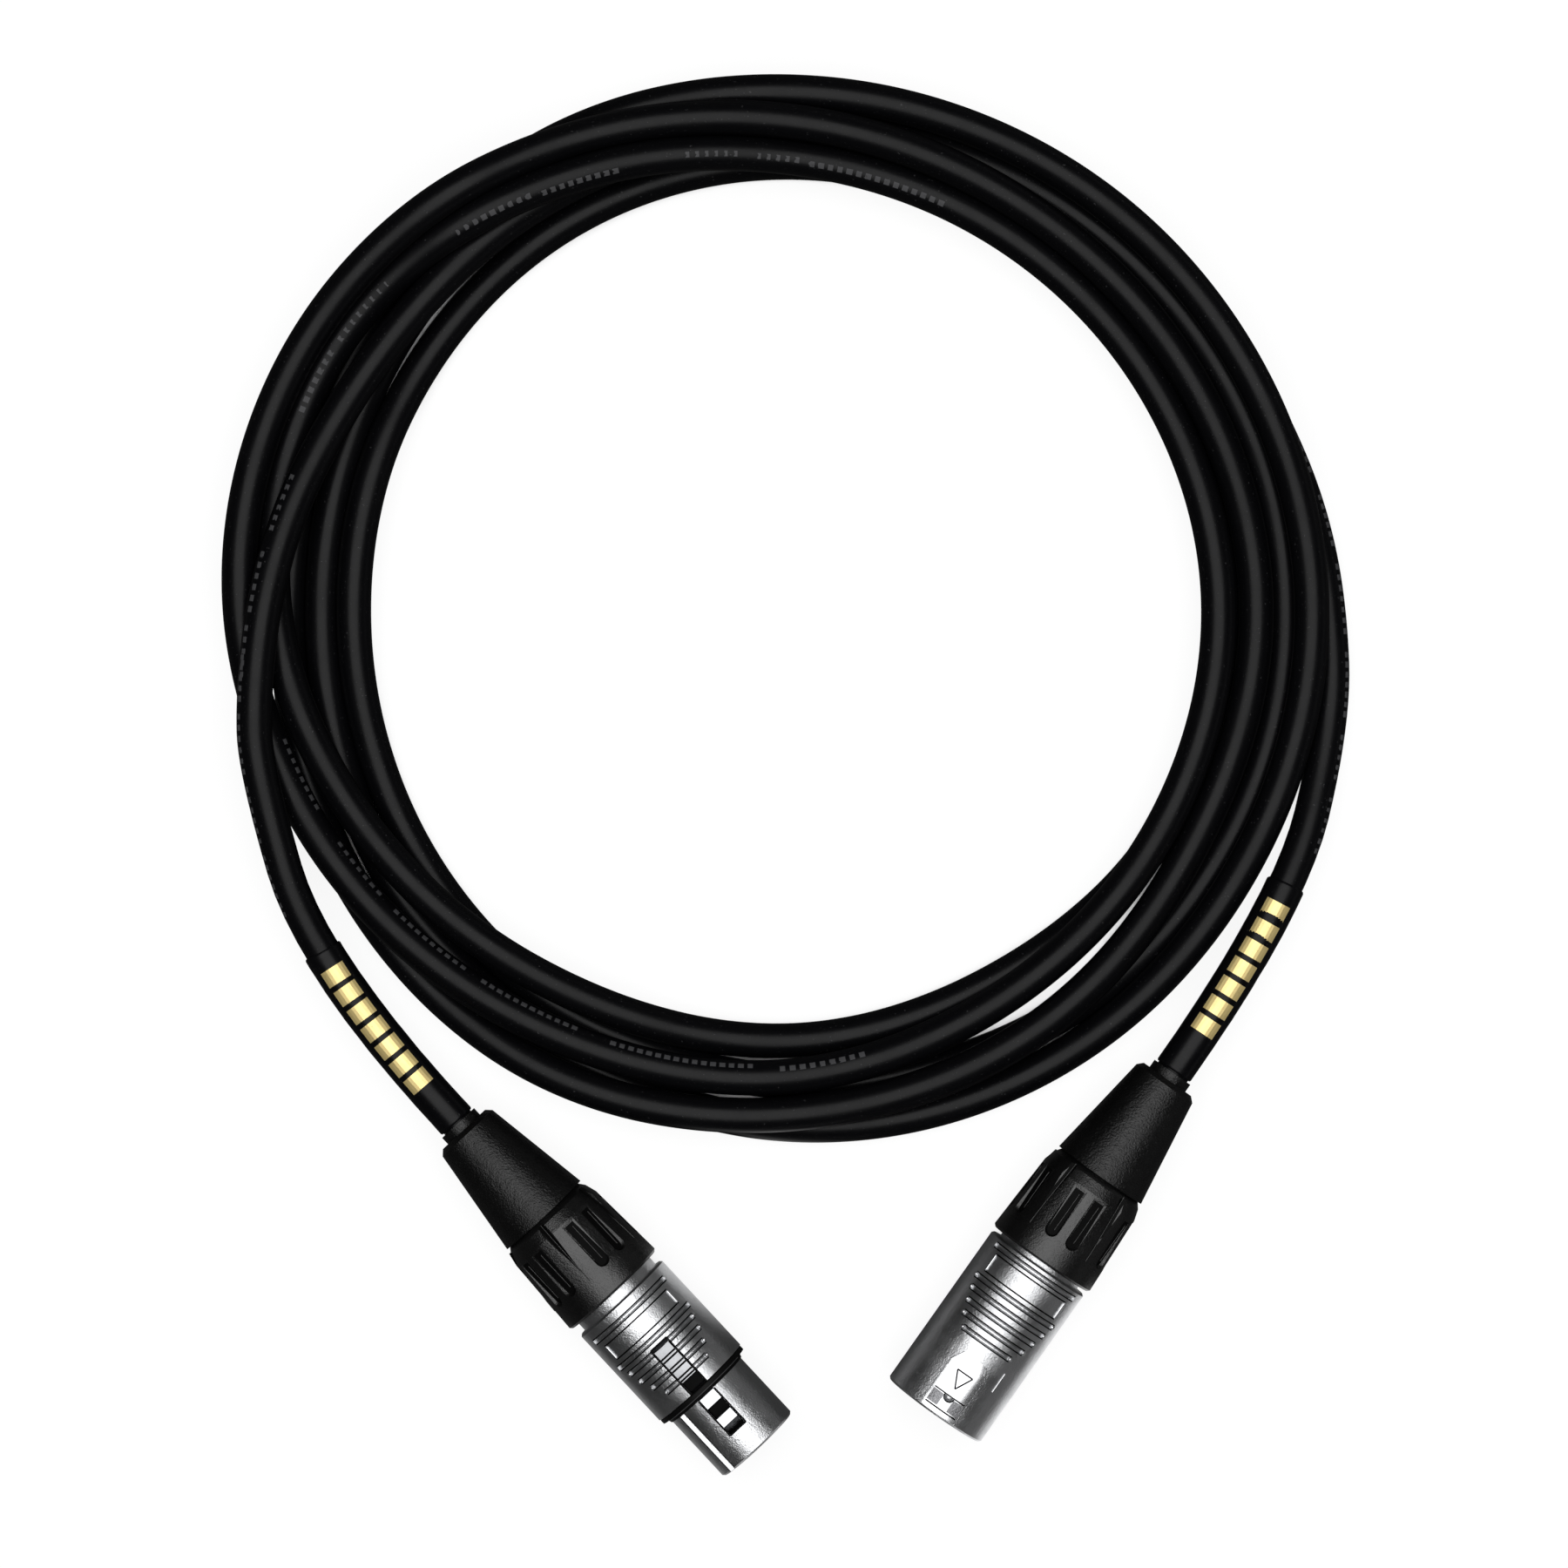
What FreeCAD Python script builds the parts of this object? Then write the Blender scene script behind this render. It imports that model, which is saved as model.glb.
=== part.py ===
import FreeCAD, Part
import math
import os

# A microphone lead, coiled and laid flat: a female connector and a male connector joined by
# about three metres of round cable. Millimetres, +Z up. The origin is on the floor, under the
# middle of the box round the two connectors.
#
# Each connector is drawn in its own frame first: +X runs along its axis from the boot's back
# towards the mating end, x = 0 is the boot's back shoulder, and +Z is the side with the latch.

V = FreeCAD.Vector
X_AXIS = V(1, 0, 0)
Y_AXIS = V(0, 1, 0)
Z_AXIS = V(0, 0, 1)
ORIGIN = V(0, 0, 0)

# Cable and the heat-shrunk sleeve beside each connector
cable_d = 6.1
sleeve_wall = 0.4
sleeve_length = 37.5
sleeve_gap = 0.3
sleeve_bends = 3
conductor_d = 1.4
drain_d = 0.9
conductor_offset = 1.3
wire_insertion = 0.6
wire_straight = 0.3

# Where the connectors lie: the coil's centre is the middle of this plan
female_boot_at = (-55.6, -90.8)
female_heading = -47.0
male_boot_at = (65.3, -82.2)
male_heading = -125.2

# Routes of the cable's two tails: straight out of the boot, then one gentle bend on to the coil
left_tail_lead = 36.5
left_tail_end = (-91.1, -28.8, 14.2)
right_tail_lead = 35.0
right_tail_end = (94.6, -20.4, 3.2)

# Coil: the bundle of turns is an oval outside and round inside
coil_half_width = 97.0
coil_half_depth = 92.3
coil_side_r = 85.0
coil_bore_r = 72.0
coil_height = 14.0
coil_edge = 4.0

# Rubber boot
neck_d = 7.5
neck_length = 1.5
boot_length = 20.1
boot_top_d = 11.7
boot_base_d = 17.2
boot_edge = 0.9
boot_flange_length = 2.0
boot_flange_d = 14.6
boot_clearance = 0.15

# Threaded collar that clamps the boot and the chuck
collar_length = 17.5
collar_top_d = 17.5
collar_shoulder_d = 18.7
collar_shoulder_length = 3.0
collar_round_length = 1.0
collar_round_rise = 0.75
collar_base_d = 20.0
collar_edge = 0.4
collar_thread_length = 8.0
joint_gap = 0.1
flute_count = 5
male_flute_phase = 36.0
female_flute_phase = -6.5
flute_length = 13.3
flute_width = 1.9
flute_depth = 0.8
pocket_width = 2.5
pocket_length = 9.8
pocket_start = 3.4
pocket_depth = 0.75
pocket_half_spread = 12.5

# Chuck that grips the jacket
chuck_length = 14.6
chuck_wall = 1.9
chuck_cone_length = 3.0
chuck_slot = 0.8
chuck_slot_length = 9.5
chuck_grip_length = 9.0
jacket_overhang = 1.0
grip_clearance = 0.05

# Die-cast shells
thread_d = 16.0
thread_wall = 1.1
thread_clearance = 0.06
shell_edge = 0.35
shell_back_wall = 1.0
male_neck_gap = 0.8
male_shell_length = 31.0
male_rear_wall = 2.4
mouth_wall = 1.5
mating_clearance = 0.1
female_neck_gap = 1.8
female_shell_d = 19.0
female_shell_length = 19.9
female_rear_wall = 2.1
female_gap_d = 16.6
nose_d = 16.0
nose_length = 12.9
nose_wall = 1.1
nose_root_length = 0.9

# Grip grooves: half their sweep in degrees, one number a groove
groove_width = 0.75
groove_depth = 0.3
grip_pitch = 2.12
male_line_grooves = [(1.45, 59)]
male_grip_start = 7.5
male_grip_sweeps = [58, 53, 47, 41, 31.5]
female_line_grooves = [(2.4, 60), (8.5, 60)]
female_grip_start = 10.4
female_grip_sweeps = [52.5, 48, 40.5, 30.5]
nameplate_depth = 0.15
nameplate_sweep = 49
male_nameplate_at = 4.4
male_nameplate_width = 3.3
female_nameplate_at = 5.5
female_nameplate_width = 2.9

# Raised panel at the male mouth, with its thumb notch
panel_height = 0.2
panel_length = 11.9
panel_flare = 2.3
panel_width = 7.0
panel_top_width = 4.4
notch_r = 0.95
notch_from_mouth = 4.0
notch_floor = 0.9

# Key rib in the male mouth, keyway on the female nose
key_angle = 45
keyway_width = 1.25
keyway_depth = 0.7
key_clearance = 0.12
key_length = 11.0
key_set_back = 0.5

# Contacts
pin_d = 2.5
pin_length = 11.2
pin_root_d = 3.0
contact_circle_d = 7.6
contact_angles = [70, -70, 180]
contact_body_d = 3.4
contact_body_length = 3.5
contact_shoulder = 2.0
pin_tip_length = 0.8
pin_tip_d = 1.3
cup_d = 3.0
cup_bore_d = 1.9
cup_length = 9.5
cup_depth = 4.0
socket_bore_d = 2.54
socket_d = 3.5
socket_depth = 11.6
socket_recess = 0.8
socket_slit = 0.35
socket_slit_length = 8.0
socket_lead_in = 0.15
contact_clearance = 0.03
entry_clearance = 0.2

# Plastic inserts
insert_clearance = 0.1
cavity_slack = 0.5
insert_flange_length = 6.0
insert_tail_inset = 1.5
male_tail_length = 7.0
female_tail_length = 4.2
insert_recess = 0.6
female_seat_length = 8.4
ground_spring_width = 2.4
ground_spring_thickness = 0.3
ground_spring_length = 9.0
male_spring_angle = 90
female_spring_angle = 125

# Black ring between the female shell and its nose
ring_wide_length = 0.95
ring_narrow_length = 0.75
ring_wide_inset = 0.15
ring_narrow_height = 0.45
ring_seat_depth = 0.15
ring_edge = 0.25

# Push latch of the female connector
latch_width = 3.1
latch_side_gap = 0.15
latch_angle = 4.3
latch_pivot_back = 8.4
latch_pivot_height = 5.6
latch_pin_d = 1.0
latch_pin_length = 8.0
latch_pin_clearance = 0.05
latch_arm_bottom = 4.9
latch_arm_top = 6.45
latch_slot_back = 1.7
latch_knuckle_r = 1.35
latch_button_rise = 0.15
latch_button_ramp = 1.1
latch_rib_width = 0.25
latch_rib_half_pitch = 0.32
latch_rib_depth = 0.35
latch_pad_length = 2.4
latch_pad_drop = 1.2
latch_plate_length = 2.0
latch_plate_drop = 0.45
latch_hook_length = 2.9
latch_hook_slope = 1.1
latch_hook_rise = 0.75
latch_hook_at = 4.4
latch_window_length = 8.0
latch_floor_clearance = 0.15
latch_end_gap = 0.4
spring_length = 6.0
spring_width = 1.6
spring_thickness = 0.25
spring_crown = 1.2
spring_back = 7.0

# Values that follow from those above
cable_r = cable_d / 2
collar_start = boot_length + joint_gap
collar_end = collar_start + collar_length
thread_r = thread_d / 2
thread_bore_r = thread_r - thread_wall
thread_start = collar_end - collar_thread_length
chuck_start = collar_start + boot_flange_length + 2 * joint_gap
chuck_end = chuck_start + chuck_length
chuck_nose_r = cable_r + chuck_wall
chuck_r = thread_bore_r - joint_gap
jacket_end = chuck_start + chuck_grip_length + jacket_overhang
connector_axis_z = collar_base_d / 2

nose_r = nose_d / 2
mouth_r = nose_r + mating_clearance
male_shell_r = mouth_r + mouth_wall
male_rear_r = male_shell_r - male_rear_wall
male_shell_start = collar_end + male_neck_gap
male_mouth = male_shell_start + male_shell_length
male_front = male_mouth - nose_length - cavity_slack
male_back = male_front - insert_flange_length

female_shell_r = female_shell_d / 2
female_rear_r = female_shell_r - female_rear_wall
female_shell_start = collar_end + female_neck_gap
female_shell_end = female_shell_start + female_shell_length
nose_start = female_shell_end + ring_wide_length + ring_narrow_length
nose_end = nose_start + nose_length
nose_bore_r = nose_r - nose_wall
nose_root = female_shell_end - nose_root_length
ring_seat_r = nose_r - ring_seat_depth
female_front = nose_end - insert_recess
female_insert_r = female_rear_r - insert_clearance
male_tail_r = mouth_r - insert_clearance - insert_tail_inset
female_tail_r = female_insert_r - insert_tail_inset
male_cup_start = male_front - contact_shoulder - contact_body_length - cup_length
female_cup_start = female_front - socket_recess - socket_depth - contact_body_length - cup_length

latch_pivot_x = female_shell_end - latch_pivot_back
latch_opening = latch_width + 2 * latch_side_gap
latch_back = latch_pivot_x - latch_slot_back
latch_window_end = nose_start + latch_window_length
latch_front = nose_start + latch_hook_at + latch_hook_length + joint_gap
latch_drop = (latch_front - latch_pivot_x) * math.sin(math.radians(latch_angle))
latch_floor_height = latch_arm_bottom - latch_drop - latch_floor_clearance


def at_angle(shape, angle):
    """Turn a shape made on the top side to a clock angle, measured from +Z towards +Y."""
    placed = shape.copy()
    placed.rotate(ORIGIN, X_AXIS, -angle)
    return placed


def side_face(points):
    """Flat face in the connector's XZ plane from its (x, z) corners."""
    corners = [V(x, 0, z) for x, z in points]
    return Part.Face(Part.makePolygon(corners + corners[:1]))


def turned(points):
    """Solid turned about the connector's axis from a profile of (x, radius) corners."""
    return side_face(points).revolve(ORIGIN, X_AXIS, 360)


def strip(points, width):
    """Side profile of (x, z) corners drawn out across the connector, centred on its axis."""
    shape = side_face(points).extrude(V(0, width, 0))
    shape.translate(V(0, -width / 2, 0))
    return shape


def rod(x_start, x_end, radius, y=0.0, z=0.0):
    """Round rod along the connector's axis."""
    return Part.makeCylinder(radius, x_end - x_start, V(x_start, y, z), X_AXIS)


def cross_rod(x, z, radius, length):
    """Round rod across the connector, centred on its axis."""
    return Part.makeCylinder(radius, length, V(x, -length / 2, z), Y_AXIS)


def post(x, z_bottom, z_top, radius):
    """Upright round post on the top side of the connector."""
    return Part.makeCylinder(radius, z_top - z_bottom, V(x, 0, z_bottom), Z_AXIS)


def block(x_start, x_end, width, z_bottom, z_top):
    """Rectangular block centred across the connector's axis."""
    corner = V(x_start, -width / 2, z_bottom)
    return Part.makeBox(x_end - x_start, width, z_top - z_bottom, corner)


def prism(outline, z_bottom, z_top):
    """Straight prism standing on a plan outline of (x, y) corners."""
    corners = [V(x, y, z_bottom) for x, y in outline]
    face = Part.Face(Part.makePolygon(corners + corners[:1]))
    return face.extrude(V(0, 0, z_top - z_bottom))


def surface_groove(x, width, depth, sweep, shell_r):
    """Cutter for a groove round part of a shell; sweep is half its angle in degrees."""
    low = x - width / 2
    high = x + width / 2
    floor_r = shell_r - depth
    top_r = shell_r + 1
    face = side_face([(low, floor_r), (high, floor_r), (high, top_r), (low, top_r)])
    return at_angle(face, -sweep).revolve(ORIGIN, X_AXIS, -2 * sweep)


def shell_grooves(start, shell_r, line_grooves, grip_start, sweeps, plate_at, plate_width):
    """Lines and grip grooves on a shell's top and underside, and the bare plate on its top."""
    rows = list(line_grooves)
    for number, sweep in enumerate(sweeps):
        rows.append((grip_start + number * grip_pitch, sweep))
    cutters = [surface_groove(start + x, groove_width, groove_depth, sweep, shell_r) for x, sweep in rows]
    cutters += [at_angle(cutter, 180) for cutter in cutters]
    cutters.append(surface_groove(start + plate_at, plate_width, nameplate_depth, nameplate_sweep, shell_r))
    return cutters


def rounded_path(points):
    """Straight runs joined by tangent arcs, each as large as its two runs allow."""
    edges = []
    radii = []
    here = points[0]
    for before, corner, after in zip(points, points[1:], points[2:]):
        to_before = before - corner
        to_after = after - corner
        half_turn = (math.pi - to_before.getAngle(to_after)) / 2
        setback = 0.45 * min(to_before.Length, to_after.Length)
        radius = setback / math.tan(half_turn)
        into = V(to_before).normalize()
        away = V(to_after).normalize()
        arc_start = corner + into * setback
        arc_end = corner + away * setback
        inward = (into + away).normalize()
        middle = corner + inward * (radius / math.cos(half_turn) - radius)
        edges.append(Part.LineSegment(here, arc_start).toShape())
        edges.append(Part.Arc(arc_start, middle, arc_end).toShape())
        radii.append(radius)
        here = arc_end
    edges.append(Part.LineSegment(here, points[-1]).toShape())
    return edges, radii


def path_part(edges, start, end):
    """The stretch of a path between two lengths along it."""
    kept = []
    passed = 0.0
    for edge in edges:
        low = max(start - passed, 0.0)
        high = min(end - passed, edge.Length)
        if high - low > 1e-6:
            first = edge.getParameterByLength(low)
            last = edge.getParameterByLength(high)
            kept.append(edge.Curve.toShape(first, last))
        passed += edge.Length
    return kept


def chords(edges, count):
    """Straight edges along a path: one for each straight run and a few for each arc."""
    points = [edges[0].valueAt(edges[0].FirstParameter)]
    for edge in edges:
        steps = count if isinstance(edge.Curve, Part.Circle) else 1
        points += edge.discretize(steps + 1)[1:]
    return Part.makePolygon(points).Edges


def pipe(edges, radius, mitred=False):
    """Round solid along a path; a mitred one has plain corners."""
    first = edges[0]
    start = first.valueAt(first.FirstParameter)
    direction = first.tangentAt(first.FirstParameter)
    section = Part.Wire(Part.makeCircle(radius, start, direction))
    return Part.Wire(edges).makePipeShell([section], True, False, 1 if mitred else 0)


def boot():
    """Rubber cone with a thin neck at the cable and a flange caught inside the collar."""
    bore_r = cable_r + grip_clearance
    neck_r = neck_d / 2
    top_r = boot_top_d / 2
    flange_r = boot_flange_d / 2
    flange_end = boot_length + boot_flange_length
    return turned([
        (-neck_length, bore_r),
        (-neck_length, neck_r),
        (0, neck_r),
        (0, top_r - boot_edge),
        (boot_edge, top_r),
        (boot_length, boot_base_d / 2),
        (boot_length, flange_r),
        (flange_end, flange_r),
        (flange_end, bore_r),
    ])


def flute(angle):
    """Cutter for one pointed flute that starts open at the collar's top edge."""
    base_r = collar_base_d / 2
    reach = base_r + 1
    root_r = (collar_top_d + collar_shoulder_d) / 4 - flute_depth
    half = flute_width / 2 * (reach - root_r) / flute_depth
    back_x = collar_start - 0.5
    root = V(back_x, 0, root_r)
    left = V(back_x, -half, reach)
    right = V(back_x, half, reach)
    tip = V(collar_start + flute_length, 0, base_r)
    tip_up = V(collar_start + flute_length, 0, reach)
    corners = [
        (root, left, right), (root, tip, left), (root, right, tip),
        (left, tip, tip_up), (right, tip_up, tip), (left, tip_up, right),
    ]
    faces = [Part.Face(Part.makePolygon([a, b, c, a])) for a, b, c in corners]
    return at_angle(Part.Solid(Part.Shell(faces)), angle)


def pocket(angle):
    """Cutter for one oblong pocket with a round lower end."""
    base_r = collar_base_d / 2
    start = collar_start + pocket_start
    end = start + pocket_length - pocket_width / 2
    floor = base_r - pocket_depth
    shape = block(start, end, pocket_width, floor, base_r + 1)
    return at_angle(shape.fuse(post(end, floor, base_r + 1, pocket_width / 2)), angle)


def collar(flute_phase):
    """Fluted collar: long pointed flutes from its top edge and a pair of pockets between each two."""
    base_r = collar_base_d / 2
    top_r = collar_top_d / 2
    seat_r = boot_flange_d / 2 + boot_clearance
    seat_end = collar_start + boot_flange_length + joint_gap
    body = turned([
        (collar_start, seat_r),
        (collar_start, top_r - collar_round_rise),
        (collar_start + collar_round_length, top_r),
        (collar_start + collar_shoulder_length, collar_shoulder_d / 2),
        (collar_end - collar_edge, base_r),
        (collar_end, base_r - collar_edge),
        (collar_end, thread_r + thread_clearance),
        (thread_start - joint_gap, thread_r + thread_clearance),
        (thread_start - joint_gap, chuck_r + joint_gap),
        (chuck_start + chuck_cone_length, chuck_r + joint_gap),
        (seat_end, chuck_nose_r + joint_gap / 2),
        (seat_end, seat_r),
    ])
    step = 360 / flute_count
    cutters = []
    for number in range(flute_count):
        angle = flute_phase + number * step
        cutters.append(flute(angle))
        cutters.append(pocket(angle + step / 2 - pocket_half_spread))
        cutters.append(pocket(angle + step / 2 + pocket_half_spread))
    return body.cut(cutters)


def chuck():
    """Split cone that the collar squeezes on to the jacket."""
    grip_r = cable_r + grip_clearance
    grip_end = chuck_start + chuck_grip_length
    hollow_r = chuck_r - chuck_wall / 2
    body = turned([
        (chuck_start, grip_r),
        (chuck_start, chuck_nose_r),
        (chuck_start + chuck_cone_length, chuck_r),
        (chuck_end, chuck_r),
        (chuck_end, hollow_r),
        (grip_end, hollow_r),
        (grip_end, grip_r),
    ])
    reach = chuck_r + 1
    slot = block(chuck_start - 1, chuck_start + chuck_slot_length, chuck_slot, -reach, reach)
    return body.cut(slot)


def key_rib():
    """Rib inside the male mouth that enters the keyway of the female nose."""
    width = keyway_width - 2 * key_clearance
    bottom = nose_r - keyway_depth + key_clearance
    end = male_mouth - key_set_back
    return at_angle(block(end - key_length, end, width, bottom, mouth_r + mouth_wall / 2), key_angle)


def panel():
    """Raised panel that widens towards the male mouth."""
    start = male_mouth - panel_length
    end = male_mouth - shell_edge
    half = panel_width / 2
    half_top = panel_top_width / 2
    outline = [
        (start, -half_top), (start + panel_flare, -half), (end, -half),
        (end, half), (start + panel_flare, half), (start, half_top),
    ]
    shape = prism(outline, 0, male_shell_r + 1)
    hollow = rod(start - 1, male_mouth, mouth_r + mouth_wall / 2)
    return shape.common(rod(start - 1, male_mouth, male_shell_r + panel_height)).cut(hollow)


def male_shell():
    """Die-cast tube: thread at the back, insert seat inside, open mouth for the female nose."""
    body = turned([
        (thread_start, thread_bore_r),
        (thread_start, thread_r),
        (male_shell_start, thread_r),
        (male_shell_start, male_shell_r - shell_edge),
        (male_shell_start + shell_edge, male_shell_r),
        (male_mouth - shell_edge, male_shell_r),
        (male_mouth, male_shell_r - shell_edge),
        (male_mouth, mouth_r),
        (male_back, mouth_r),
        (male_back, male_rear_r),
        (male_shell_start + shell_back_wall, male_rear_r),
        (male_shell_start + shell_back_wall, thread_bore_r),
    ])
    body = body.fuse([panel(), key_rib()]).removeSplitter()
    cutters = shell_grooves(
        male_shell_start, male_shell_r, male_line_grooves, male_grip_start, male_grip_sweeps,
        male_nameplate_at, male_nameplate_width)
    notch_x = male_mouth - notch_from_mouth
    notch = post(notch_x, mouth_r + notch_floor, male_shell_r + 1, notch_r)
    cutters.append(notch.common(block(notch_x, male_mouth, 2 * notch_r, 0, male_shell_r + 1)))
    hook_rear = male_mouth - latch_hook_at
    catch_start = hook_rear - latch_hook_length - latch_end_gap
    catch_top = nose_r + latch_hook_rise + latch_side_gap
    cutters.append(block(catch_start, hook_rear + latch_end_gap, latch_opening, mouth_r - 1, catch_top))
    return body.cut(cutters)


def female_shell():
    """Die-cast shell and nose in one piece, open on top for the push button and the latch hook."""
    gap_r = female_gap_d / 2
    body = turned([
        (thread_start, thread_bore_r),
        (thread_start, thread_r),
        (collar_end + joint_gap, thread_r),
        (collar_end + joint_gap, gap_r),
        (female_shell_start, gap_r),
        (female_shell_start, female_shell_r - shell_edge),
        (female_shell_start + shell_edge, female_shell_r),
        (female_shell_end, female_shell_r),
        (female_shell_end, ring_seat_r),
        (nose_start, ring_seat_r),
        (nose_start, nose_r),
        (nose_end - shell_edge, nose_r),
        (nose_end, nose_r - shell_edge),
        (nose_end, nose_bore_r),
        (nose_root, nose_bore_r),
        (nose_root, female_rear_r),
        (female_shell_start + shell_back_wall, female_rear_r),
        (female_shell_start + shell_back_wall, thread_bore_r),
    ])
    cutters = shell_grooves(
        female_shell_start, female_shell_r, female_line_grooves, female_grip_start, female_grip_sweeps,
        female_nameplate_at, female_nameplate_width)
    cutters.append(block(latch_back, female_shell_end, latch_opening, latch_pivot_height, female_shell_r + 1))
    cutters.append(block(nose_start, latch_window_end, latch_opening, latch_arm_bottom, nose_r + 1))
    keyway = block(nose_start, nose_end + 1, keyway_width, nose_r - keyway_depth, nose_r + 1)
    cutters.append(at_angle(keyway, -key_angle))
    return body.cut(cutters)


def nose_ring():
    """Rubber ring that closes the joint when the connectors are mated."""
    wide_r = female_shell_r - ring_wide_inset
    narrow_r = nose_r + ring_narrow_height
    wide_end = female_shell_end + ring_wide_length
    return turned([
        (female_shell_end, ring_seat_r),
        (female_shell_end, wide_r - ring_edge),
        (female_shell_end + ring_edge, wide_r),
        (wide_end, wide_r),
        (wide_end, narrow_r),
        (nose_start, narrow_r - ring_edge),
        (nose_start, ring_seat_r),
    ])


def contact_places():
    """Plan (y, z) of each contact round the axis."""
    radius = contact_circle_d / 2
    turns = [math.radians(angle) for angle in contact_angles]
    return [(radius * math.sin(turn), radius * math.cos(turn)) for turn in turns]


def solder_cup(shape, cup_start):
    """Hollow the back end of a contact and open its upper half for the wire."""
    bore = rod(cup_start - 1, cup_start + cup_depth, cup_bore_d / 2)
    scoop = block(cup_start - 1, cup_start + cup_depth / 2, cup_d + 1, 0, cup_d)
    return shape.cut([bore, scoop])


def male_contact(y, z):
    """Solid pin with a thicker root in the insert, a stop collar and a solder cup."""
    body_end = male_front - contact_shoulder
    body_start = body_end - contact_body_length
    tip = male_front + pin_length
    shape = turned([
        (male_cup_start, 0),
        (male_cup_start, cup_d / 2),
        (body_start, cup_d / 2),
        (body_start, contact_body_d / 2),
        (body_end, contact_body_d / 2),
        (body_end, pin_root_d / 2),
        (male_front, pin_root_d / 2),
        (male_front, pin_d / 2),
        (tip - pin_tip_length, pin_d / 2),
        (tip, pin_tip_d / 2),
        (tip, 0),
    ])
    shape = solder_cup(shape, male_cup_start)
    shape.translate(V(0, y, z))
    return shape


def female_contact(y, z):
    """Slit socket with a solder cup."""
    socket_end = female_front - socket_recess
    bore_end = socket_end - socket_depth
    body_start = bore_end - contact_body_length
    shape = turned([
        (female_cup_start, 0),
        (female_cup_start, cup_d / 2),
        (body_start, cup_d / 2),
        (body_start, socket_d / 2),
        (socket_end, socket_d / 2),
        (socket_end, socket_bore_d / 2 + socket_lead_in),
        (socket_end - socket_lead_in, socket_bore_d / 2),
        (bore_end, socket_bore_d / 2),
        (bore_end, 0),
    ])
    half = socket_slit / 2
    slit = block(socket_end - socket_slit_length, socket_end + 1, socket_d + 1, -half, half)
    shape = solder_cup(shape, female_cup_start).cut(slit)
    shape.translate(V(0, y, z))
    return shape


def male_insert():
    """Plastic disc that holds the pins, with a narrower tail towards the cable."""
    insert_r = mouth_r - insert_clearance
    tail_start = male_back - male_tail_length
    body = turned([
        (tail_start, 0),
        (tail_start, male_tail_r),
        (male_back + joint_gap, male_tail_r),
        (male_back + joint_gap, insert_r),
        (male_front, insert_r),
        (male_front, 0),
    ])
    root_hole_r = pin_root_d / 2 + contact_clearance
    body_hole_r = contact_body_d / 2 + contact_clearance
    cutters = []
    for y, z in contact_places():
        cutters.append(rod(tail_start - 1, male_front + 1, root_hole_r, y, z))
        cutters.append(rod(tail_start - 1, male_front - contact_shoulder + joint_gap, body_hole_r, y, z))
    return body.cut(cutters)


def female_insert():
    """Plastic core of the female connector, with the latch's channel and pivot on top."""
    tip_r = nose_bore_r - insert_clearance
    seat_end = nose_root - joint_gap
    seat_start = seat_end - female_seat_length
    tail_start = seat_start - female_tail_length
    body = turned([
        (tail_start, 0),
        (tail_start, female_tail_r),
        (seat_start, female_tail_r),
        (seat_start, female_insert_r),
        (seat_end, female_insert_r),
        (seat_end, tip_r),
        (female_front, tip_r),
        (female_front, 0),
    ])
    entry_r = socket_bore_d / 2 + entry_clearance
    body_hole_r = socket_d / 2 + contact_clearance
    cutters = []
    for y, z in contact_places():
        cutters.append(rod(tail_start - 1, female_front + 1, entry_r, y, z))
        cutters.append(rod(tail_start - 1, female_front - socket_recess + joint_gap / 2, body_hole_r, y, z))
    channel_end = latch_window_end + latch_end_gap
    channel_width = latch_opening + latch_end_gap
    cutters.append(block(tail_start - 1, channel_end, channel_width, latch_floor_height, female_insert_r + 1))
    pin_hole_r = latch_pin_d / 2 + contact_clearance
    cutters.append(cross_rod(latch_pivot_x, latch_pivot_height, pin_hole_r, latch_pin_length))
    return body.cut(cutters)


def ground_spring(x_start, x_end, inner_r, outer_r, angle):
    """Thin bowed strip between the insert's tail and the inside of the shell."""
    low = inner_r + joint_gap / 2
    high = math.sqrt(outer_r ** 2 - (ground_spring_width / 2) ** 2) - joint_gap
    thickness = ground_spring_thickness
    bend = (x_end - x_start) / 4
    profile = [
        (x_start, low), (x_start + bend, high - thickness), (x_end - bend, high - thickness), (x_end, low),
        (x_end, low + thickness), (x_end - bend, high), (x_start + bend, high), (x_start, low + thickness),
    ]
    return at_angle(strip(profile, ground_spring_width), angle)


def latch_arm():
    """Rocking arm with its knuckle round the pin and the pad in front of the button."""
    back = latch_back + latch_side_gap
    pad_start = female_shell_end - latch_pad_length
    pad_end = female_shell_end - latch_end_gap
    arm = block(latch_pivot_x, latch_front, latch_width, latch_arm_bottom, latch_arm_top)
    knuckle = cross_rod(latch_pivot_x, latch_pivot_height, latch_knuckle_r, latch_width)
    knuckle = knuckle.common(block(back, latch_front, latch_width, latch_floor_height, latch_arm_top))
    pad = block(pad_start, pad_end, latch_width, latch_arm_top, female_shell_r - latch_pad_drop)
    arm = arm.fuse([knuckle, pad]).removeSplitter()
    hole_r = latch_pin_d / 2 + latch_pin_clearance
    return arm.cut(cross_rod(latch_pivot_x, latch_pivot_height, hole_r, latch_width + 2))


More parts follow.
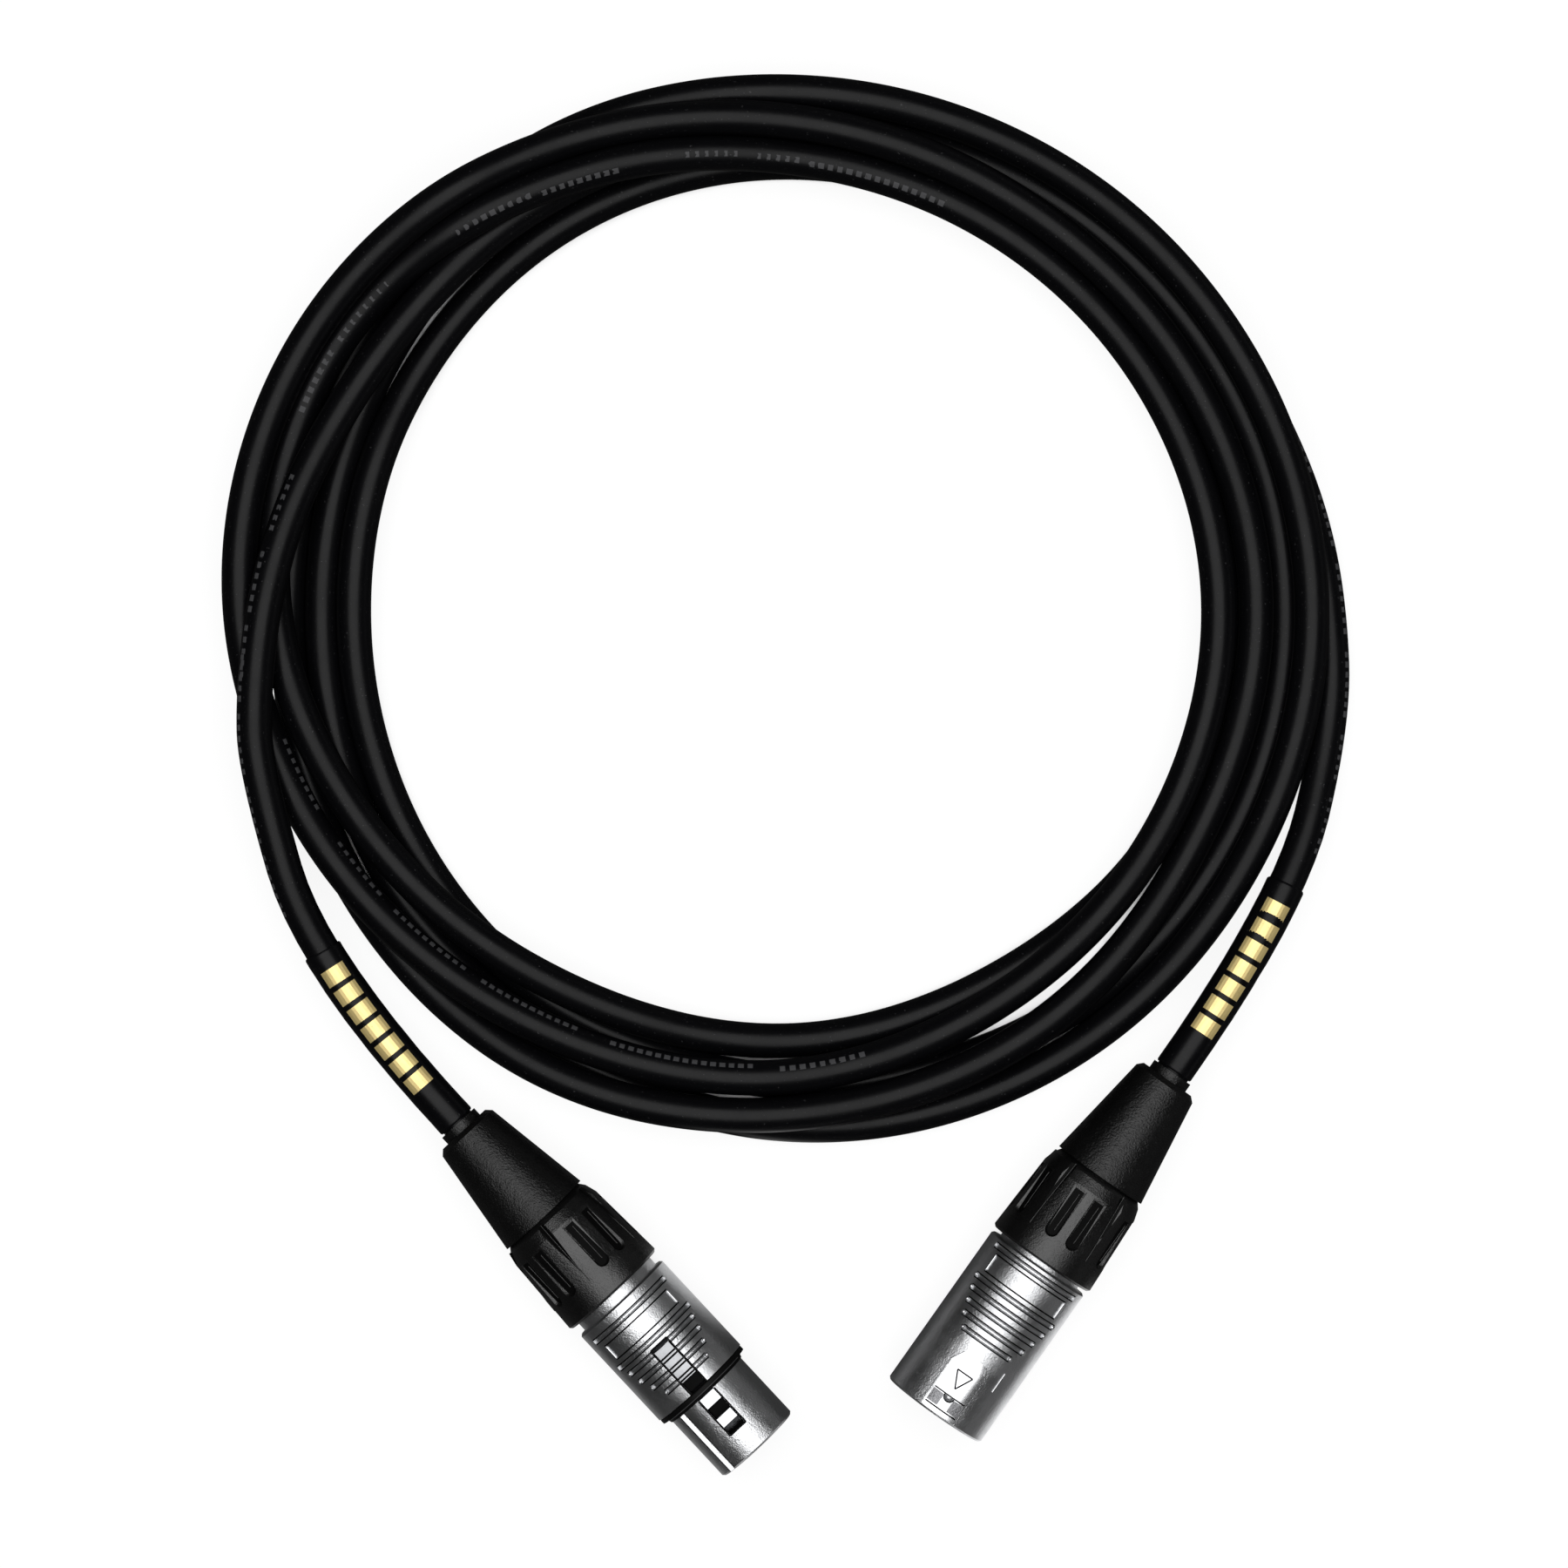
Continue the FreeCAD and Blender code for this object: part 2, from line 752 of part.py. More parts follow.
def latch_button():
    """Push button with a sloping back edge and thin cross ribs that line up with the grip grooves."""
    top_r = female_shell_r + latch_button_rise
    back = latch_back + latch_side_gap
    front = female_shell_end - latch_pad_length - joint_gap
    profile = [
        (back, latch_arm_top), (back, top_r - latch_button_ramp), (back + latch_button_ramp, top_r + 1),
        (front, top_r + 1), (front, latch_arm_top),
    ]
    button = strip(profile, latch_width).common(rod(back - 1, front + 1, top_r))
    grooves = []
    for number in range(len(female_grip_sweeps)):
        middle = female_shell_start + female_grip_start + number * grip_pitch
        for x in (middle - latch_rib_half_pitch, middle + latch_rib_half_pitch):
            low = x - latch_rib_width / 2
            high = x + latch_rib_width / 2
            if low > back + latch_button_ramp and high < front:
                grooves.append(block(low, high, latch_width + 1, top_r - latch_rib_depth, top_r + 1))
    return button.cut(grooves)


def latch_plate():
    """Flat plate on the arm at the back of the nose's window."""
    start = nose_start + latch_side_gap
    return block(start, start + latch_plate_length, latch_width, latch_arm_top, nose_r - latch_plate_drop)


def latch_hook():
    """Hook that stands above the nose, steep at its back and sloping towards the mating end."""
    start = nose_start + latch_hook_at
    end = start + latch_hook_length
    top = nose_r + latch_hook_rise
    return strip([
        (start, latch_arm_top),
        (start, top),
        (end - latch_hook_slope, top),
        (end, latch_arm_top + latch_hook_rise),
        (end, latch_arm_top),
    ], latch_width)


def latch_spring():
    """Bowed leaf that stands on the insert and holds the arm up."""
    start = female_shell_end - spring_back
    end = start + spring_length
    crown_start = (start + end - spring_crown) / 2
    crown_end = crown_start + spring_crown
    floor = latch_floor_height
    top = latch_arm_bottom
    thickness = spring_thickness
    return strip([
        (start, floor), (start + thickness, floor), (crown_start, top - thickness),
        (crown_end, top - thickness), (end - thickness, floor), (end, floor),
        (crown_end, top), (crown_start, top),
    ], spring_width)


def wires(cup_start):
    """Two insulated conductors and the bare drain, from the jacket's end to the solder cups."""
    shapes = []
    end = cup_start + cup_depth * wire_insertion
    bend = (end - jacket_end) * wire_straight
    diameters = [conductor_d, conductor_d, drain_d]
    for diameter, (y, z) in zip(diameters, contact_places()):
        share = 2 * conductor_offset / contact_circle_d
        corners = [
            V(jacket_end + joint_gap, y * share, z * share),
            V(jacket_end + bend, y * share, z * share),
            V(end - bend, y, z),
            V(end, y, z),
        ]
        shapes.append(pipe(Part.makePolygon(corners).Edges, diameter / 2, mitred=True))
    return shapes


def cable_stub():
    """The cable inside the connector, from the boot's neck to where the jacket is cut back."""
    return rod(-neck_length, jacket_end, cable_r)


def male_connector():
    """Every piece of the male connector in its own frame."""
    pieces = {
        "male_boot": boot(),
        "male_collar": collar(male_flute_phase),
        "male_chuck": chuck(),
        "male_shell": male_shell(),
        "male_insert": male_insert(),
        "male_ground_spring": ground_spring(
            male_back - ground_spring_length, male_back - joint_gap, male_tail_r, male_rear_r,
            male_spring_angle),
        "male_cable_end": cable_stub(),
    }
    for number, (y, z) in enumerate(contact_places(), start=1):
        pieces["male_pin_%d" % number] = male_contact(y, z)
    pieces.update(zip(("male_wire_1", "male_wire_2", "male_wire_drain"), wires(male_cup_start)))
    return pieces


def female_connector():
    """Every piece of the female connector in its own frame."""
    spring_start = female_shell_start + shell_back_wall + joint_gap
    pieces = {
        "female_boot": boot(),
        "female_collar": collar(female_flute_phase),
        "female_chuck": chuck(),
        "female_shell": female_shell(),
        "female_nose_ring": nose_ring(),
        "female_insert": female_insert(),
        "female_ground_spring": ground_spring(
            spring_start, spring_start + ground_spring_length, female_tail_r, female_rear_r,
            female_spring_angle),
        "female_cable_end": cable_stub(),
        "latch_arm": latch_arm(),
        "latch_button": latch_button(),
        "latch_plate": latch_plate(),
        "latch_hook": latch_hook(),
        "latch_spring": latch_spring(),
        "latch_pin": cross_rod(
            latch_pivot_x, latch_pivot_height, latch_pin_d / 2, latch_pin_length - 2 * joint_gap),
    }
    for number, (y, z) in enumerate(contact_places(), start=1):
        pieces["female_socket_%d" % number] = female_contact(y, z)
    names = ("female_wire_1", "female_wire_2", "female_wire_drain")
    pieces.update(zip(names, wires(female_cup_start)))
    return pieces


def placed(shape, boot_at, heading):
    """Lay a connector piece at its place in the plan."""
    shape.rotate(ORIGIN, Z_AXIS, heading)
    shape.translate(V(boot_at[0], boot_at[1], connector_axis_z))
    return shape


def point_behind(boot_at, heading, distance):
    """Point on the connector's axis behind the boot."""
    turn = math.radians(heading)
    x = boot_at[0] - distance * math.cos(turn)
    y = boot_at[1] - distance * math.sin(turn)
    return V(x, y, connector_axis_z)


def tail(boot_at, heading, lead, end):
    """Cable tail and its heat-shrunk sleeve, from the boot's neck to the coil."""
    points = [
        point_behind(boot_at, heading, neck_length),
        point_behind(boot_at, heading, neck_length + lead),
        V(*end),
    ]
    edges, radii = rounded_path(points)
    tube = pipe(edges, cable_r)
    cover_edges = chords(path_part(edges, sleeve_gap, sleeve_gap + sleeve_length), sleeve_bends)
    hollow = pipe(cover_edges, cable_r, mitred=True)
    cover = pipe(cover_edges, cable_r + sleeve_wall, mitred=True).cut(hollow)
    length = sum(edge.Length for edge in edges)
    print("tail length %.1f, radii %s" % (length, [round(r, 1) for r in radii]))
    print("  volume over section times length %.4f" % (tube.Volume / (math.pi * cable_r ** 2 * length)))
    return tube, cover


def oval_wire(half_width, half_depth, side_r):
    """Closed oval of four tangent arcs, wider than it is deep."""
    side_x = half_width - side_r
    excess = half_depth - side_r
    cap_y = (side_x ** 2 - excess ** 2) / (2 * excess)
    reach = 1 + side_r / math.hypot(side_x, cap_y)
    join_x = side_x * reach
    join_y = cap_y * (reach - 1)
    upper = Part.Arc(V(join_x, join_y, 0), V(0, half_depth, 0), V(-join_x, join_y, 0))
    left = Part.Arc(V(-join_x, join_y, 0), V(-half_width, 0, 0), V(-join_x, -join_y, 0))
    lower = Part.Arc(V(-join_x, -join_y, 0), V(0, -half_depth, 0), V(join_x, -join_y, 0))
    right = Part.Arc(V(join_x, -join_y, 0), V(half_width, 0, 0), V(join_x, join_y, 0))
    return Part.Wire([arc.toShape() for arc in (upper, left, lower, right)])


def coil_bundle():
    """The coil's turns as one ring: oval outside, round inside, with sloping upper edges."""
    outline = Part.Face(oval_wire(coil_half_width, coil_half_depth, coil_side_r))
    disc = outline.extrude(V(0, 0, coil_height))
    ring = disc.cut(Part.makeCylinder(coil_bore_r, coil_height))
    top_edges = [edge for edge in ring.Edges if edge.BoundBox.ZMin > coil_height - 0.01]
    return ring.makeChamfer(coil_edge, top_edges)


nodes = {}
for name, shape in male_connector().items():
    nodes[name] = placed(shape, male_boot_at, male_heading)
for name, shape in female_connector().items():
    nodes[name] = placed(shape, female_boot_at, female_heading)

# The origin goes under the middle of the two connectors' box
box = FreeCAD.BoundBox()
for shape in nodes.values():
    box.add(shape.optimalBoundingBox(False, False))
shift = V(-box.Center.x, -box.Center.y, -box.ZMin)
print("connectors box %.2f x %.2f x %.2f, shift %s" % (box.XLength, box.YLength, box.ZLength, shift))

nodes["cable_left_tail"], nodes["left_sleeve"] = tail(
    female_boot_at, female_heading, left_tail_lead, left_tail_end)
nodes["cable_right_tail"], nodes["right_sleeve"] = tail(
    male_boot_at, male_heading, right_tail_lead, right_tail_end)
nodes["cable_coil"] = coil_bundle()

os.makedirs("parts", exist_ok=True)
for name, shape in nodes.items():
    shape.translate(shift)
    shape.exportStep("parts/%s.step" % name)
    print("%-20s valid %s solids %d volume %.2f" % (name, shape.isValid(), len(shape.Solids), shape.Volume))
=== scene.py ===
# %% [markdown]
# # A coiled microphone lead
#
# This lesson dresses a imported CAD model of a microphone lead. The connectors come from the CAD
# model as they are and get finishes. The cable is made here as one long curve, because a real
# cable is one soft length and not a stack of rings. Every number is in metres unless a name ends
# in _mm or the text says millimetres, and everything lies where the CAD model has it.

# %% Load the frame
import math
from functools import partial

import bpy
from mathutils import Matrix, Vector


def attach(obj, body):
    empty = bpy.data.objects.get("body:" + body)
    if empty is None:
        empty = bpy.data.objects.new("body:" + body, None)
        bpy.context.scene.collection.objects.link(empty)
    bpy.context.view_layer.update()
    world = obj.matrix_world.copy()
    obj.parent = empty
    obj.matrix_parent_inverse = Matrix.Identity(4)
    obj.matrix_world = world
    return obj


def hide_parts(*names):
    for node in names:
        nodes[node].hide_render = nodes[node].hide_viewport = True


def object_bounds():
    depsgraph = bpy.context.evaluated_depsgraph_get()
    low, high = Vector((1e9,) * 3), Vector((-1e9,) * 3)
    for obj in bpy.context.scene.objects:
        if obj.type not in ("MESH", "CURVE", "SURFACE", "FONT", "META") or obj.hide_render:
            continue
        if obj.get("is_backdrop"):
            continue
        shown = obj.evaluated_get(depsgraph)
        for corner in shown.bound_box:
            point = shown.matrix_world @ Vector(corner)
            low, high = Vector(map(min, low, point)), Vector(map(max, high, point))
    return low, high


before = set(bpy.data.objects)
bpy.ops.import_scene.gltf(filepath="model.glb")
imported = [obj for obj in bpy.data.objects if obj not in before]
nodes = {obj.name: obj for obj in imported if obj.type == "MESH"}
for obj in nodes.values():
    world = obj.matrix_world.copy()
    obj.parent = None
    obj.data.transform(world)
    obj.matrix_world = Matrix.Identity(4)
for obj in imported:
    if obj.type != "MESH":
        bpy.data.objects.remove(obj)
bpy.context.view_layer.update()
scene = bpy.context.scene
print("CAD nodes:", len(nodes))

# %% [markdown]
# ## The camera of the photograph
#
# The picture looks straight down. A square picture that is 269.5 mm wide where the connectors lie
# fits a camera one metre up with a long lens. A long lens was chosen because a near camera would
# show the flanks of the connectors.

# %% Camera
PICTURE_CENTRE = (-0.0057, 0.08304)
CAMERA_HEIGHT = 1.0
CONNECTOR_AXIS = 0.010
PICTURE_WIDTH = 0.2695

camera_data = bpy.data.cameras.new("Camera over the table")
camera_data.sensor_width = 36.0
camera_data.lens = 36.0 * (CAMERA_HEIGHT - CONNECTOR_AXIS) / PICTURE_WIDTH
camera = bpy.data.objects.new("Camera over the table", camera_data)
camera.location = (PICTURE_CENTRE[0], PICTURE_CENTRE[1], CAMERA_HEIGHT)
scene.collection.objects.link(camera)
scene.camera = camera
scene.view_settings.view_transform = "Standard"
print("lens %.1f mm" % camera_data.lens)

# %% [markdown]
# ## One length of cable
#
# The cable leaves the female connector, bends up to the coil, goes round it nearly six times and
# comes back to the male connector. It could be simulated, but then its turns would lie anywhere.
# Here each turn has twelve radii read off the picture, and a rank that says which turns
# lie on which. A loop then lets the turns sink until each rests on the floor or on the ones
# under it. The points become control points of one smooth spline.

# %% Facts of the cable
CABLE_D = 0.0061
COIL_CENTRE = (-0.005098, 0.114475)
POINT_STEP = 10
FIRST_ANGLE = 80
LAST_ANGLE = 2070

# One row a turn, millimetres from the coil's centre at every 30 degrees. Angles run clockwise
# from the side of the connectors.
TURN_RADII_MM = [
    [98.0, 98.0, 98.0, 89.3, 81.9, 80.9, 81.6, 82.6, 84.5, 86.2, 86.8, 85.4],
    [83.0, 80.1, 76.9, 74.8, 75.1, 76.0, 76.2, 76.0, 76.0, 76.0, 76.2, 74.6],
    [75.9, 76.9, 82.0, 88.5, 89.4, 82.1, 76.3, 73.5, 73.1, 74.2, 75.2, 77.5],
    [81.8, 84.7, 89.8, 94.2, 93.6, 88.1, 82.2, 78.9, 79.0, 80.9, 81.3, 85.2],
    [88.2, 91.2, 89.5, 86.3, 86.6, 89.0, 87.6, 87.3, 88.0, 90.3, 90.8, 91.8],
    [90.4, 86.2, 83.1, 80.4, 81.2, 83.6, 86.6, 87.6, 88.1, 93.4, 98.0, 98.0],
]
RADIUS_STEP = 30

# Angle along the coil and rank: where two strands meet, the higher rank lies on top.
LAYERS = [
    (60, 6), (104, 6), (120, 1), (720, 1), (755, 3), (1075, 3),
    (1095, 4), (1447, 4), (1475, 1.5), (1500, -1), (1570, -1), (1600, 1.5), (1790, 1.5),
    (1850, 0), (2100, 0),
]

# The two tails: points of the route, out of each boot and up to the coil.
LEFT_TAIL = [(-0.061721, 0.024772, 0.0100), (-0.086614, 0.051467, 0.0100), (-0.096198, 0.085675, 0.0142)]
RIGHT_TAIL = [(0.089502, 0.094075, 0.0032), (0.081242, 0.062101, 0.0100), (0.061067, 0.033501, 0.0100)]


# %% Radius and rank along the coil
def coil_radius(angle):
    """Radius in metres at an angle along the coil, smooth through the numbers above."""
    radii = [radius for turn in TURN_RADII_MM for radius in turn]
    hour, part = divmod(angle / RADIUS_STEP, 1)
    last = len(radii) - 1
    a, b, c, d = (radii[min(max(int(hour) + k, 0), last)] for k in (-1, 0, 1, 2))
    curve = 2 * b + (c - a) * part + (2 * a - 5 * b + 4 * c - d) * part ** 2
    return (curve + (3 * b - a - 3 * c + d) * part ** 3) / 2000


def coil_rank(angle):
    """Rank at an angle along the coil."""
    for (start, low), (end, high) in zip(LAYERS, LAYERS[1:]):
        if angle <= end:
            return low + (high - low) * (angle - start) / (end - start)


angles = list(range(FIRST_ANGLE, LAST_ANGLE + 1, POINT_STEP))
radii = [coil_radius(angle) for angle in angles]
ranks = [coil_rank(angle) for angle in angles]
print("control points in the coil:", len(angles))

# %% Let the turns settle
TURN_CLEARANCE = 0.0060
SAG = 0.0009
SWEEPS = 60


def settled_heights():
    """Height of each point once every strand rests on what lies under it."""
    points_a_turn = 360 // POINT_STEP
    floor_height = CABLE_D / 2
    heights = [floor_height] * len(angles)
    for sweep in range(SWEEPS):
        before = [LEFT_TAIL[-1][2]] + heights[:-1]
        after = heights[1:] + [RIGHT_TAIL[0][2]]
        settled = []
        for k in range(len(angles)):
            need = floor_height
            for j in range(k % points_a_turn, len(angles), points_a_turn):
                apart = abs(radii[j] - radii[k])
                if ranks[j] < ranks[k] and apart < TURN_CLEARANCE:
                    need = max(need, heights[j] + math.sqrt(TURN_CLEARANCE ** 2 - apart ** 2))
            settled.append(max(need, (before[k] + after[k]) / 2 - SAG))
        heights = settled
    return heights


heights = settled_heights()
print("highest point of the coil: %.1f mm" % (1000 * (max(heights) + CABLE_D / 2)))

# %% The spline
REACH = 1 / math.cos(math.radians(POINT_STEP / 2))


def coil_point(angle, radius, height):
    """Control point a little outside the turn, so that the spline itself has the turn's radius."""
    turn = math.radians(angle)
    x = COIL_CENTRE[0] - radius * REACH * math.sin(turn)
    y = COIL_CENTRE[1] - radius * REACH * math.cos(turn)
    return (x, y, height)


route = LEFT_TAIL + [coil_point(*values) for values in zip(angles, radii, heights)] + RIGHT_TAIL
cable_curve = bpy.data.curves.new("cable", "CURVE")
cable_curve.dimensions = "3D"
cable_curve.resolution_u = 10
spline = cable_curve.splines.new("NURBS")
spline.points.add(len(route) - 1)
for point, place in zip(spline.points, route):
    point.co = (*place, 1.0)
spline.order_u = 3
spline.use_endpoint_u = True
cable = bpy.data.objects.new("cable", cable_curve)
scene.collection.objects.link(cable)


# %% Read the route back
def route_line():
    """Points along the middle of the cable, from the curve while it has no thickness."""
    bpy.context.view_layer.update()
    depsgraph = bpy.context.evaluated_depsgraph_get()
    mesh = bpy.data.meshes.new_from_object(cable.evaluated_get(depsgraph))
    points = [vertex.co.copy() for vertex in mesh.vertices]
    bpy.data.meshes.remove(mesh)
    return points


line = route_line()
line_lengths = [0.0]
for here, there in zip(line, line[1:]):
    line_lengths.append(line_lengths[-1] + (there - here).length)
CABLE_LENGTH = line_lengths[-1]
cable_curve.bevel_depth = CABLE_D / 2
cable_curve.bevel_resolution = 9
cable_curve.use_fill_caps = True
print("cable length %.3f m" % CABLE_LENGTH)

# %% [markdown]
# ## Helpers for node trees
#
# Finishes are shader trees, and what repeats or follows the cable is made by Geometry Nodes:
# sleeves, marks, groove bottoms and beads. A tree is built once, with named inputs, and run on a
# small start mesh. The result is kept as a plain mesh, so that nothing depends on the modifier.


# %% Add nodes to a tree
def add(tree, kind, settings=None, **links):
    """Add a node. Each link names an input socket, or numbers it as in i0, and joins or sets it."""
    node = tree.nodes.new(kind)
    for name, value in (settings or {}).items():
        setattr(node, name, value)
    for name, value in links.items():
        key = int(name[1:]) if name[0] == "i" and name[1:].isdigit() else name.replace("_", " ")
        if isinstance(value, bpy.types.NodeSocket):
            tree.links.new(value, node.inputs[key])
        else:
            node.inputs[key].default_value = value
    return node


def made(tree, kind, settings=None, **links):
    """Add a node and give its first output."""
    return add(tree, kind, settings, **links).outputs[0]


def maths(tree, operation, first, second=0.0):
    """Math node and its result."""
    return made(tree, "ShaderNodeMath", {"operation": operation}, i0=first, i1=second)


def builders(tree):
    """Short forms of made and maths that add to one tree."""
    return partial(made, tree), partial(maths, tree)


def number_inputs(tree, defaults):
    """Inputs of a node group, named by keywords in which an underscore stands for a space."""
    for name, value in defaults.items():
        kind = "NodeSocketInt" if isinstance(value, int) else "NodeSocketFloat"
        socket = tree.interface.new_socket(name.replace("_", " "), in_out="INPUT", socket_type=kind)
        socket.default_value = value


# %% Build and run a geometry tree
def geometry_tree(name, **defaults):
    """New tree that takes a geometry, numbers and a material, and the sockets of its inputs."""
    tree = bpy.data.node_groups.new(name, "GeometryNodeTree")
    tree.interface.new_socket("Geometry", in_out="INPUT", socket_type="NodeSocketGeometry")
    number_inputs(tree, defaults)
    tree.interface.new_socket("Material", in_out="INPUT", socket_type="NodeSocketMaterial")
    tree.interface.new_socket("Geometry", in_out="OUTPUT", socket_type="NodeSocketGeometry")
    return tree, tree.nodes.new("NodeGroupInput").outputs


def end_tree(tree, given, geometry):
    """Last nodes of a tree: instances made real, the material and the way out."""
    real = made(tree, "GeometryNodeRealizeInstances", Geometry=geometry)
    coated = made(tree, "GeometryNodeSetMaterial", Geometry=real, Material=given["Material"])
    tree.links.new(coated, tree.nodes.new("NodeGroupOutput").inputs[0])


def run_tree(name, tree, mesh, values):
    """Run a tree on a start mesh once and keep the result as a plain mesh object."""
    piece = bpy.data.objects.new(name, mesh)
    scene.collection.objects.link(piece)
    modifier = piece.modifiers.new(tree.name, "NODES")
    modifier.node_group = tree
    for item in tree.interface.items_tree:
        if item.item_type == "SOCKET" and item.in_out == "INPUT" and item.name in values:
            modifier[item.identifier] = values[item.name]
    bpy.context.view_layer.update()
    depsgraph = bpy.context.evaluated_depsgraph_get()
    result = bpy.data.meshes.new_from_object(piece.evaluated_get(depsgraph))
    piece.modifiers.remove(modifier)
    piece.data = result
    result.name = name
    print("%-26s %6d faces" % (name, len(result.polygons)))
    return piece


# %% Start meshes along the cable
def new_mesh(name, points, edges=(), faces=()):
    """Mesh of points with edges or faces."""
    mesh = bpy.data.meshes.new(name)
    mesh.from_pydata(points, edges, faces)
    return mesh


def point_at(length):
    """Point of the cable's middle at a length from the left exit."""
    for k in range(1, len(line)):
        if line_lengths[k] >= length:
            share = (length - line_lengths[k - 1]) / (line_lengths[k] - line_lengths[k - 1])
            return line[k - 1].lerp(line[k], share)
    return line[-1]


def line_mesh(name, stretches):
    """Edges along the cable's middle, from stretches of (start, end, turn about the cable)."""
    points, edges, turns = [], [], []
    for start, end, around in stretches:
        stretch = [p for p, s in zip(line, line_lengths) if start < s < end]
        stretch = [point_at(start)] + stretch + [point_at(end)]
        edges += [(len(points) + k, len(points) + k + 1) for k in range(len(stretch) - 1)]
        points += stretch
        turns += [math.radians(around)] * len(stretch)
    mesh = new_mesh(name, points, edges)
    mesh.attributes.new("around", "FLOAT", "POINT").data.foreach_set("value", turns)
    return mesh


# %% [markdown]
# ## Shared surface effects
#
# Three effects appear in nearly every finish: the fine grain that a mould or a casting leaves, the
# slow change of gloss from handling, and dust that settles on what faces up. Each is a node group
# that gives only a value, and every material puts it to use in its own way.


# %% Helpers for shader trees
def shader_group(name, outputs, **defaults):
    """New group that takes a vector and numbers and gives numbers, with its sockets at both ends."""
    tree = bpy.data.node_groups.new(name, "ShaderNodeTree")
    tree.interface.new_socket("Vector", in_out="INPUT", socket_type="NodeSocketVector")
    number_inputs(tree, defaults)
    for label in outputs:
        tree.interface.new_socket(label, in_out="OUTPUT", socket_type="NodeSocketFloat")
    return tree, tree.nodes.new("NodeGroupInput").outputs, tree.nodes.new("NodeGroupOutput").inputs


def noise(tree, vector, scale, detail, roughness=0.5):
    """Noise value of a texture at a vector."""
    return made(tree, "ShaderNodeTexNoise", Vector=vector, Scale=scale, Detail=detail, Roughness=roughness)


def ramp(tree, value, low, high, start=0.0, end=1.0):
    """Value stretched from one range to another, with soft ends."""
    return made(tree, "ShaderNodeMapRange", {"interpolation_type": "SMOOTHSTEP"}, Value=value,
                From_Min=low, From_Max=high, To_Min=start, To_Max=end)


# %% Grain group
grain_tree, given, results = shader_group("Surface grain", ["Height", "Pits"], Grain_Size=0.0003)
calc = partial(maths, grain_tree)
grain_scale = calc("DIVIDE", 1.0, given["Grain Size"])
fine = noise(grain_tree, given["Vector"], grain_scale, 2.0, 0.6)
coarse = noise(grain_tree, given["Vector"], calc("MULTIPLY", grain_scale, 0.31), 2.0)
height = calc("ADD", calc("MULTIPLY", fine, 0.6), calc("MULTIPLY", coarse, 0.4))
grain_tree.links.new(height, results["Height"])
grain_tree.links.new(ramp(grain_tree, fine, 0.58, 0.70), results["Pits"])

# %% Handling and dust groups
handling_tree, given, results = shader_group("Handling", ["Smudge", "Scuff"], Patch_Size=0.006)
calc = partial(maths, handling_tree)
patch_scale = calc("DIVIDE", 1.0, given["Patch Size"])
smudge = noise(handling_tree, given["Vector"], patch_scale, 4.0, 0.6)
scuff = noise(handling_tree, given["Vector"], calc("MULTIPLY", patch_scale, 9.0), 5.0, 0.7)
handling_tree.links.new(ramp(handling_tree, smudge, 0.35, 0.7), results["Smudge"])
handling_tree.links.new(ramp(handling_tree, scuff, 0.60, 0.72), results["Scuff"])

dust_tree, given, results = shader_group("Dust", ["Mask"], Amount=0.1)
calc = partial(maths, dust_tree)
facing = add(dust_tree, "ShaderNodeNewGeometry").outputs["Normal"]
up = add(dust_tree, "ShaderNodeSeparateXYZ", Vector=facing).outputs["Z"]
specks = ramp(dust_tree, noise(dust_tree, given["Vector"], 2600.0, 1.0), 0.70, 0.80)
settled_dust = calc("MULTIPLY", ramp(dust_tree, up, 0.2, 0.9), specks)
dust_tree.links.new(calc("MULTIPLY", settled_dust, given["Amount"]), results["Mask"])
print("shared groups:", [group.name for group in bpy.data.node_groups])


# %% [markdown]
# ## A material from a recipe
#
# Rubber, moulded plastic, cast metal and turned metal differ in a few numbers: colour, how wide
# the gloss is, how coarse the grain is and how much handling shows. One function lays the shared
# effects out around a Principled shader, so that every finish is a short recipe. Numbers that are
# the same all over the surface stay on the shader's own sockets. A colour that is one number is a
# neutral grey.

# %% Recipe for a finish
DUST_COLOUR = (0.35, 0.35, 0.36, 1)


def rgba(colour):
    """Colour with alpha, from three numbers or from one grey."""
    return (colour, colour, colour, 1) if isinstance(colour, float) else (*colour, 1)


def finish(name, colour, worn, rough, spread=0.10, grain_mm=0.20, bump_mm=0.004, metallic=0.0,
           specular=0.5, dust=0.0):
    """Material with grain, smudges and scuffs round a Principled shader."""
    material = bpy.data.materials.new(name)
    material.use_nodes = True
    tree = material.node_tree
    make, calc = builders(tree)
    shader = tree.nodes["Principled BSDF"]
    place = add(tree, "ShaderNodeTexCoord").outputs["Object"]
    grain = add(tree, "ShaderNodeGroup", {"node_tree": grain_tree}, Vector=place,
                Grain_Size=grain_mm / 1000).outputs
    handling = add(tree, "ShaderNodeGroup", {"node_tree": handling_tree}, Vector=place).outputs
    specks = make("ShaderNodeGroup", {"node_tree": dust_tree}, Vector=place, Amount=dust)
    tint = add(tree, "ShaderNodeMix", {"data_type": "RGBA"}, i0=handling["Scuff"], i6=rgba(colour),
               i7=rgba(worn))
    dusty = add(tree, "ShaderNodeMix", {"data_type": "RGBA"}, i0=specks, i6=tint.outputs[2],
                i7=DUST_COLOUR)
    tree.links.new(dusty.outputs[2], shader.inputs["Base Color"])
    gloss = calc("ADD", calc("MULTIPLY", handling["Smudge"], spread), rough)
    gloss = calc("ADD", gloss, calc("MULTIPLY", grain["Pits"], spread))
    tree.links.new(gloss, shader.inputs["Roughness"])
    bump = make("ShaderNodeBump", Height=grain["Height"], Distance=bump_mm / 1000)
    tree.links.new(bump, shader.inputs["Normal"])
    shader.inputs["Metallic"].default_value = metallic
    shader.inputs["Specular IOR Level"].default_value = specular
    return material


